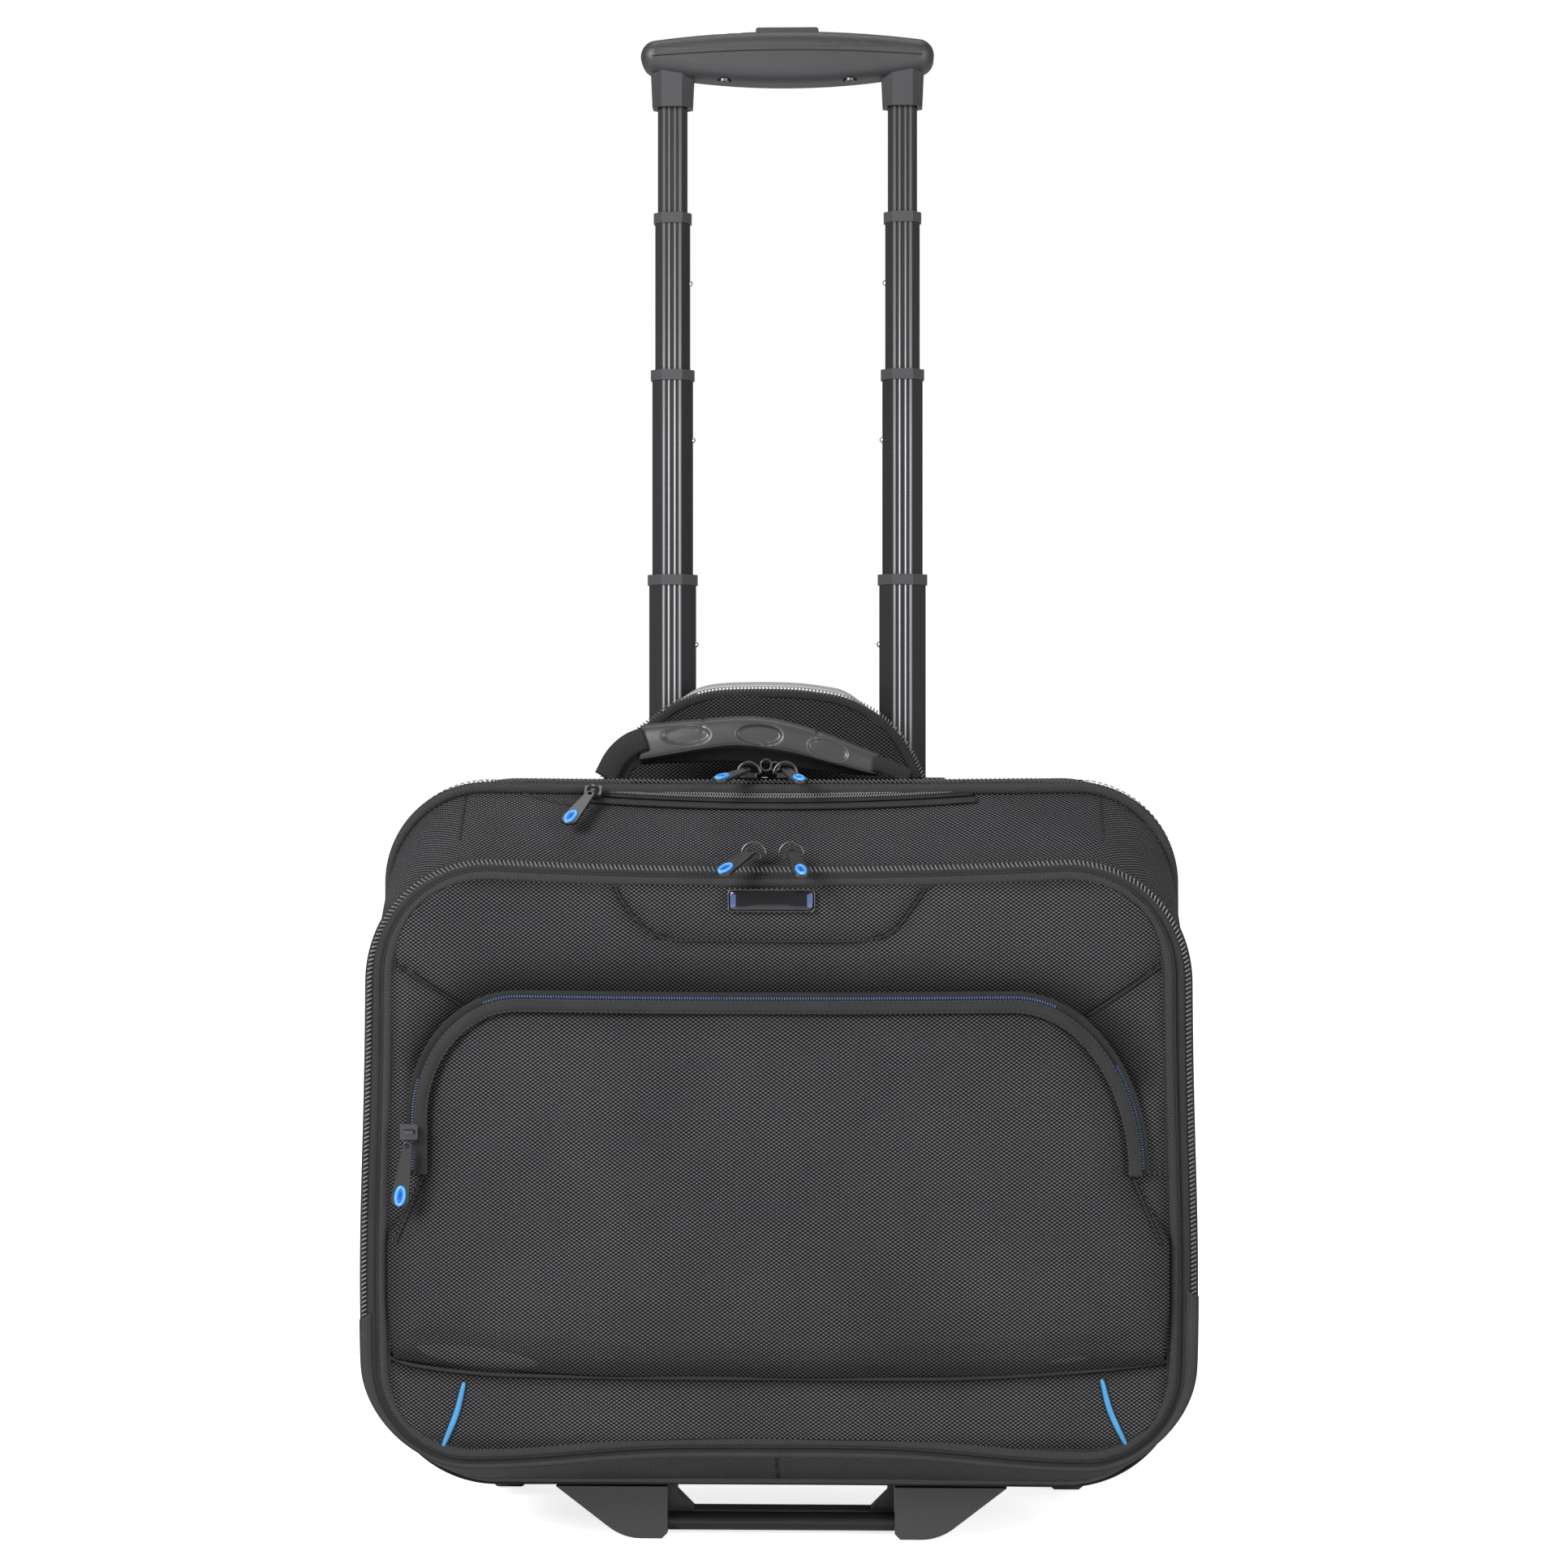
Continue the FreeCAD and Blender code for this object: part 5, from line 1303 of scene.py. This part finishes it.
GRIP_TOP = ((-0.0800, 0.4362), (-0.0770, 0.4380), (-0.0600, 0.4400), (-0.0451, 0.4413), (-0.0224, 0.4427),
            (-0.0072, 0.4416), (0.0055, 0.4388), (0.0188, 0.4348), (0.0360, 0.4284), (0.0525, 0.4216))
GRIP_RIDGE = ((-0.0800, 0.4190), (-0.0600, 0.4225), (-0.0397, 0.4258), (-0.0224, 0.4268), (0.0037, 0.4232),
              (0.0254, 0.4176), (0.0449, 0.4124), (0.0525, 0.4112))
GRIP_LOW = ((-0.0800, 0.4162), (-0.0600, 0.4172), (-0.0267, 0.4176), (0.0, 0.4150), (0.0250, 0.4120),
            (0.0450, 0.4102), (0.0525, 0.4100))
GRIP_OVALS = ((-0.0538, 0.4318, 0.0128, 0.0049, 0.03), (-0.0137, 0.4322, 0.0124, 0.0056, -0.05),
              (0.0243, 0.4238, 0.0110, 0.0051, -0.30))
GRIP_NOTCHES = (-0.0451, 0.0188)


def oval_depth(x, z):
    """1 inside a finger recess, 0 outside, with a short slope between."""
    total = np.zeros_like(x)
    for cx, cz, half_x, half_z, tilt in GRIP_OVALS:
        u = (x - cx) * math.cos(tilt) + (z - cz) * math.sin(tilt)
        v = (z - cz) * math.cos(tilt) - (x - cx) * math.sin(tilt)
        total = np.maximum(total, 1 - smooth(np.hypot(u / half_x, v / half_z), 0.92, 1.10))
    return total


def grip_section(top, ridge, low_z, deep):
    """Closed (y, z) outline: leaning front face down to a ridge, then the shaded underside."""
    tall = top - ridge
    points = [(0.10, top), (-0.55, top - 0.12 * tall), (-0.88, top - 0.45 * tall),
              (-1.0, ridge + 0.10 * tall), (-0.90, ridge - 0.0006), (-0.30, (ridge + low_z) / 2),
              (0.2, low_z), (0.75, low_z + 0.0025), (1.0, (top + low_z) / 2), (0.75, top - 0.0030)]
    points = [(y * deep, z) for y, z in points]
    points.append(points[0])
    return spline(points, 57)[:-1]


GRIP_END_SHARE = 0.80
GRIP_END_REACH = 0.030


def end_taper(reach):
    """The grip's depth near its ends, as a share of its full depth."""
    rise = math.sin(min(1.0, reach / GRIP_END_REACH) * math.pi / 2)
    return GRIP_END_SHARE + 0.20 * rise


def carry_grip():
    """Moulded rubber grip with three finger recesses, and its webbing tails."""
    low, high = corners("grab_grip")
    y = (low[1] + high[1]) / 2
    deep = (high[1] - low[1]) / 2
    stations = np.linspace(GRIP_TOP[0][0], GRIP_TOP[-1][0], 170)
    outlines = [spline(chain, 200) for chain in (GRIP_TOP, GRIP_RIDGE, GRIP_LOW)]
    top, ridge, under = (np.interp(stations, chain[:, 0], chain[:, 1]) for chain in outlines)
    rings = []
    for x, z_top, z_ridge, z_low in zip(stations, top, ridge, under):
        notch = sum(math.exp(-((x - c) / 0.0009) ** 2) for c in GRIP_NOTCHES)
        reach = min(x - stations[0], stations[-1] - x)
        end = 1 - 0.10 * math.exp(-reach / 0.0008)
        section = grip_section(z_top - 0.9 * MM * notch, z_ridge, z_low, deep * end_taper(reach) * end)
        dent = oval_depth(np.full(len(section), x), section[:, 1]) * (section[:, 0] < -0.3 * deep)
        depth = y + section[:, 0] + dent * 1.3 * MM
        rings.append(np.stack([np.full(len(section), x), depth, section[:, 1]], 1))
    columns = len(rings[0])
    faces = grid_faces(len(rings), columns, wrap_columns=True) + end_faces(len(rings), columns)
    grip = new_piece("carry_grip", np.concatenate(rings), faces, M["rubber"])
    place(grip, "grab_handle", "grip_rubber", ("grab_grip",))
    grip_underside(stations, ridge, under, y, deep)
    oval = oval_loop(*GRIP_OVALS[1])
    # painted shade round the middle finger recess
    place(cord("grip_recess_shadow_rim", in_plane(oval, y - deep * 0.86), 0.45, M["rubber_shade"], closed=True),
          "grab_handle", "grip_rubber")
    tails()


def grip_underside(stations, ridge, under, y, deep):
    """Near-black skin laid over the grip's shaded underside as painted shade."""
    shade = []
    for x, z_ridge, z_low in zip(stations[1:-1], ridge[1:-1], under[1:-1]):
        wide = deep * end_taper(min(x - stations[0], stations[-1] - x))
        profile = [(-1.01, z_ridge + 0.4 * MM), (-0.93, z_ridge - 0.8 * MM), (-0.33, (z_ridge + z_low) / 2),
                   (0.2, z_low - 0.3 * MM)]
        curve = spline([(y + wide * a - 0.35 * MM, z) for a, z in profile], 12)
        shade.append(np.stack([np.full(12, x), curve[:, 0], curve[:, 1]], 1))
    underside = thicken(loft("carry_grip_underside_shade", shade, M["rubber_shade"], closed=False), 0.3 * MM)
    place(underside, "grab_handle", "grip_rubber")


def oval_loop(x, z, half_x, half_z, tilt, count=48):
    turn = np.linspace(0, 2 * math.pi, count, endpoint=False)
    a = half_x * np.cos(turn)
    b = half_z * np.sin(turn)
    return np.stack([x + a * math.cos(tilt) - b * math.sin(tilt),
                     z + a * math.sin(tilt) + b * math.cos(tilt)], 1)


def tails():
    """Webbing tails that fold from the grip's ends down to the bag."""
    low, high = corners("grab_webbing")
    y = (low[1] + high[1]) / 2
    pieces = (("left", 13, 0,
               [(-0.0765, 0.4300), (-0.0850, 0.4265), (-0.0925, 0.4195), (-0.0985, 0.4085)]),
              ("left_fold", 7, 4,
               [(-0.0760, 0.4215), (-0.0820, 0.4190), (-0.0868, 0.4145), (-0.0895, 0.4085)]),
              ("right", 9, 0,
               [(0.0500, 0.4165), (0.0560, 0.4150), (0.0625, 0.4120), (0.0690, 0.4085)]))
    for name, width, back, chain in pieces:
        line = spline(chain, 24)
        tail = tape("webbing_" + name, in_plane(line, y + back * MM), width, 2.4, M["webbing"], 0.8)
        if name == "left":
            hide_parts("grab_webbing")
        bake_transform(tail)


# ---------------------------------------------------------------- pull rings and hardware


def puller_rings():
    """Blue oval insert in the tip of each puller, laid on the tab's own plane."""
    for name in ("main_left", "main_right", "front_left", "front_right", "top_pocket", "pocket"):
        node = frame["nodes"][name + "_puller"]
        coords = np.array([v.co for v in node.data.vertices])
        centre = coords.mean(0)
        spread = coords - centre
        _, _, axes = np.linalg.svd(spread, full_matrices=False)
        along, across, normal = axes
        joint = next(j for j in frame["joints"] if j["child"] == name + "_puller")
        hinge = np.array(joint["pos_m"])
        if (centre - hinge) @ along < 0:
            along = -along
        front = np.array([0, -0.6, 0.8]) if name != "pocket" else np.array([0, -1.0, 0])
        if normal @ front < 0:
            normal = -normal
        reach = (spread @ along).max()
        tip = centre + along * (reach - 5.6 * MM)
        top = (spread @ normal).max()
        for label, half_a, half_b, radius, rise, material in (
                ("ring", 4.5, 2.1, 0.95, 0.2, "blue_bright"), ("well", 3.0, 0.8, 0.8, -0.2, "blue_deep")):
            turn = np.linspace(0, 2 * math.pi, 40, endpoint=False)
            path = (tip + np.outer(np.cos(turn) * half_a * MM, along)
                    + np.outer(np.sin(turn) * half_b * MM, across) + normal * (top + rise * MM))
            place(cord("%s_%s" % (name, label), path, radius, M[material], 10, outward=tuple(normal),
                       closed=True), name + "_puller", "puller_plastic")


def lock_eyes():
    """Two dark eyelets between the main sliders, and lighter metal rims along the sliders' arched bails."""
    low, high = corners("main_right_slider")
    for k, (x, r) in enumerate(((-0.0078, 3.0), (-0.0030, 2.4))):
        turn = np.linspace(0, 2 * math.pi, 30, endpoint=False)
        path = np.stack([x + r * MM * np.cos(turn), np.full(30, low[1] + (2.5 + k) * MM),
                         high[2] - (2.2 + 0.8 * k) * MM + r * MM * np.sin(turn)], 1)
        place(cord("lock_eye_%d" % k, path, 0.5, M["dark_metal"], closed=True),
              "main_left_slider" if k == 0 else "main_right_slider", "slider_metal")
    for name in ("main_left", "main_right", "front_left", "front_right"):
        low, high = corners(name + "_slider")
        centre = (low + high) / 2
        radius = (high[0] - low[0]) / 2
        turn = np.linspace(0, math.pi, 30)
        path = np.stack([centre[0] + (radius - 0.5 * MM) * np.cos(turn), np.full(30, centre[1] - 1.1 * MM),
                         high[2] - radius + (radius - 0.5 * MM) * np.sin(turn)], 1)
        place(cord(name + "_bail_rim", path, 0.5, M["lighter_rim_metal"]), name + "_slider", "slider_metal")


def front_of(nodes, x, z):
    """The first surface points of some parts, seen from the front at each x and z."""
    trees = []
    for name in nodes:
        item = frame["nodes"][name]
        corners_of = [item.matrix_world @ vertex.co for vertex in item.data.vertices]
        trees.append(BVHTree.FromPolygons(corners_of, [tuple(face.vertices) for face in item.data.polygons]))
    found = []
    for px, pz in zip(x, z):
        hits = [tree.ray_cast(Vector((px, -1.0, pz)), Vector((0, 1, 0)))[0] for tree in trees]
        depths = [hit.y for hit in hits if hit is not None]
        if depths:
            found.append((px, min(depths), pz))
    return np.array(found)


def grip_parting():
    """Fine dark line where the grip's two mouldings meet along its front, laid as painted shade."""
    x = np.linspace(-0.0770, 0.0770, 60)
    z = 0.8207 + 0.0032 * (1 - (x / 0.08) ** 2)
    path = front_of(("grip_upper_shell", "grip_lower_shell"), x, z)
    path[:, 1] -= 0.05 * MM
    place(cord("grip_parting_shadow_line", path, 0.38, M["seam"], 8, 0.5), "grip", "grip_plastic")


PIN_PROUD = 1.6 * MM


def lock_buttons():
    """Domed ends of the spring pins on the inner sides of each stage."""
    for stage in (4, 3, 2):
        low, high = corners("lock_pins_stage_%d" % stage)
        tube_low, tube_high = corners("tubes_stage_%d" % stage)
        middle = (low + high) / 2
        width = (tube_high[0] - tube_low[0]) / 2 - TUBE_X
        for side in (-1, 1):
            inner = TUBE_X - width
            points, faces = capsule(4.0 * MM, 1.9 * MM, 16, 5)
            spot = np.array([side * (inner + 2.0 * MM - PIN_PROUD), middle[1], middle[2]])
            name = "spring_pin_%d_%s" % (stage, hand(side))
            pin = new_piece(name, points + spot, faces, M["steel"])
            place(pin, "stage_%d" % stage, "steel")


# ---------------------------------------------------------------- carried-over CAD nodes

NODE_MATERIALS = {
    "grip": ("grip_upper_shell", "grip_lower_shell", "release_button"),
    "tube": ("outer_tubes", "tubes_stage_4", "tubes_stage_3", "tubes_stage_2", "tubes_stage_1"),
    "collar": ("collars_stage_4", "collars_stage_3", "collars_stage_2"),
    "steel": ("lock_pins_stage_4", "lock_pins_stage_3", "lock_pins_stage_2", "button_spring",
              "release_rods", "wheel_axles"),
    "screw": ("grip_screws",),
    "leg": ("stand_leg_left", "stand_leg_right", "stand_tray", "handle_bezel", "handle_foot_bracket",
            "wheel_housing_left", "wheel_housing_right"),
    "bar": ("stand_bar",),
    "tread": ("wheel_tyre_left", "wheel_tyre_right"),
    "hub": ("wheel_hub_left", "wheel_hub_right"),
    "board": ("frame_board", "base_board"),
    "dark_metal": ("main_left_slider", "main_right_slider", "front_left_slider", "front_right_slider",
                   "top_pocket_slider", "pocket_slider"),
    "puller": ("main_left_puller", "main_right_puller", "front_left_puller", "front_right_puller",
               "top_pocket_puller", "pocket_puller"),
    "plate": ("name_plate",),
}


def dress_nodes():
    for material, nodes in NODE_MATERIALS.items():
        for name in nodes:
            node = frame["nodes"][name]
            for slot in node.material_slots:
                slot.material = M[material]


# ---------------------------------------------------------------- stage, light and camera

LENS_MM = 80.0
SENSOR_MM = 36.0
CAMERA_BACK = 1.803
CAMERA_SIDE = 0.0525
CAMERA_TURN = 1.56
ROOM_LIGHT = 0.34
FLOOR_GLOW = 0.80
LIGHT_AIM = Vector((0, 0, 0.30))


def stage():
    bpy.ops.mesh.primitive_plane_add(size=24, location=(0, 0, 0))
    floor = bpy.context.object
    floor.name = "floor"
    n = Nodes("pale_floor")
    color = n.ramp(n.noise(3.0, 2.0), [(0.3, (0.95, 0.95, 0.95)), (0.7, (0.97, 0.97, 0.97))])
    glow = two_levels(n.tree, 0.0, FLOOR_GLOW)
    floor.data.materials.append(n.set(Base_Color=color, Roughness=0.9, Specular_IOR_Level=0.0,
                                      Emission_Color=(1.0, 1.0, 1.0), Emission_Strength=glow))
    studio_world()


def studio_world():
    """White backdrop for the camera, dimmer room light for everything else."""
    world = bpy.data.worlds.new("studio")
    bpy.context.scene.world = world
    world.use_nodes = True
    tree = world.node_tree
    tree.links.new(two_levels(tree, ROOM_LIGHT, 1.0), tree.nodes["Background"].inputs["Strength"])
    tree.nodes["Background"].inputs["Color"].default_value = (1, 1, 1, 1)


def two_levels(tree, lighting, seen):
    """One level for the light something gives, another for how bright it looks."""
    path = tree.nodes.new("ShaderNodeLightPath")
    level = tree.nodes.new("ShaderNodeMapRange")
    level.inputs["To Min"].default_value = lighting
    level.inputs["To Max"].default_value = seen
    tree.links.new(path.outputs["Is Camera Ray"], level.inputs["Value"])
    return level.outputs["Result"]


def soft_light(name, place_at, size, power):
    data = bpy.data.lights.new(name, "AREA")
    data.shape = "RECTANGLE"
    data.size = size[0]
    data.size_y = size[1]
    data.energy = power
    lamp = bpy.data.objects.new(name, data)
    bpy.context.collection.objects.link(lamp)
    lamp.location = place_at
    lamp.rotation_euler = (LIGHT_AIM - Vector(place_at)).to_track_quat("-Z", "Y").to_euler()


def lights():
    soft_light("key", (-1.5, -1.9, 1.5), (1.1, 1.1), 96)
    soft_light("fill", (1.7, -2.0, 0.9), (1.1, 1.3), 44)
    soft_light("top", (0.0, 0.3, 2.6), (1.6, 1.0), 14)


def camera():
    data = bpy.data.cameras.new("camera")
    data.lens = LENS_MM
    data.sensor_width = SENSOR_MM
    item = bpy.data.objects.new("camera", data)
    bpy.context.collection.objects.link(item)
    item.location = (CAMERA_SIDE, FRONT_Y - CAMERA_BACK, 0.405)
    item.rotation_euler = (math.pi / 2, 0, math.radians(CAMERA_TURN))
    bpy.context.scene.camera = item


bpy.context.scene.view_settings.view_transform = "Standard"
camera()
stage()
lights()
front_panel()
pocket()
pocket_mouth()
front_seams()
blue_strips()
name_plate()
middle_section()
front_zip()
main_zip()
main_bag()
top_pocket()
hood()
carry_grip()
puller_rings()
lock_eyes()
grip_parting()
lock_buttons()
dress_nodes()
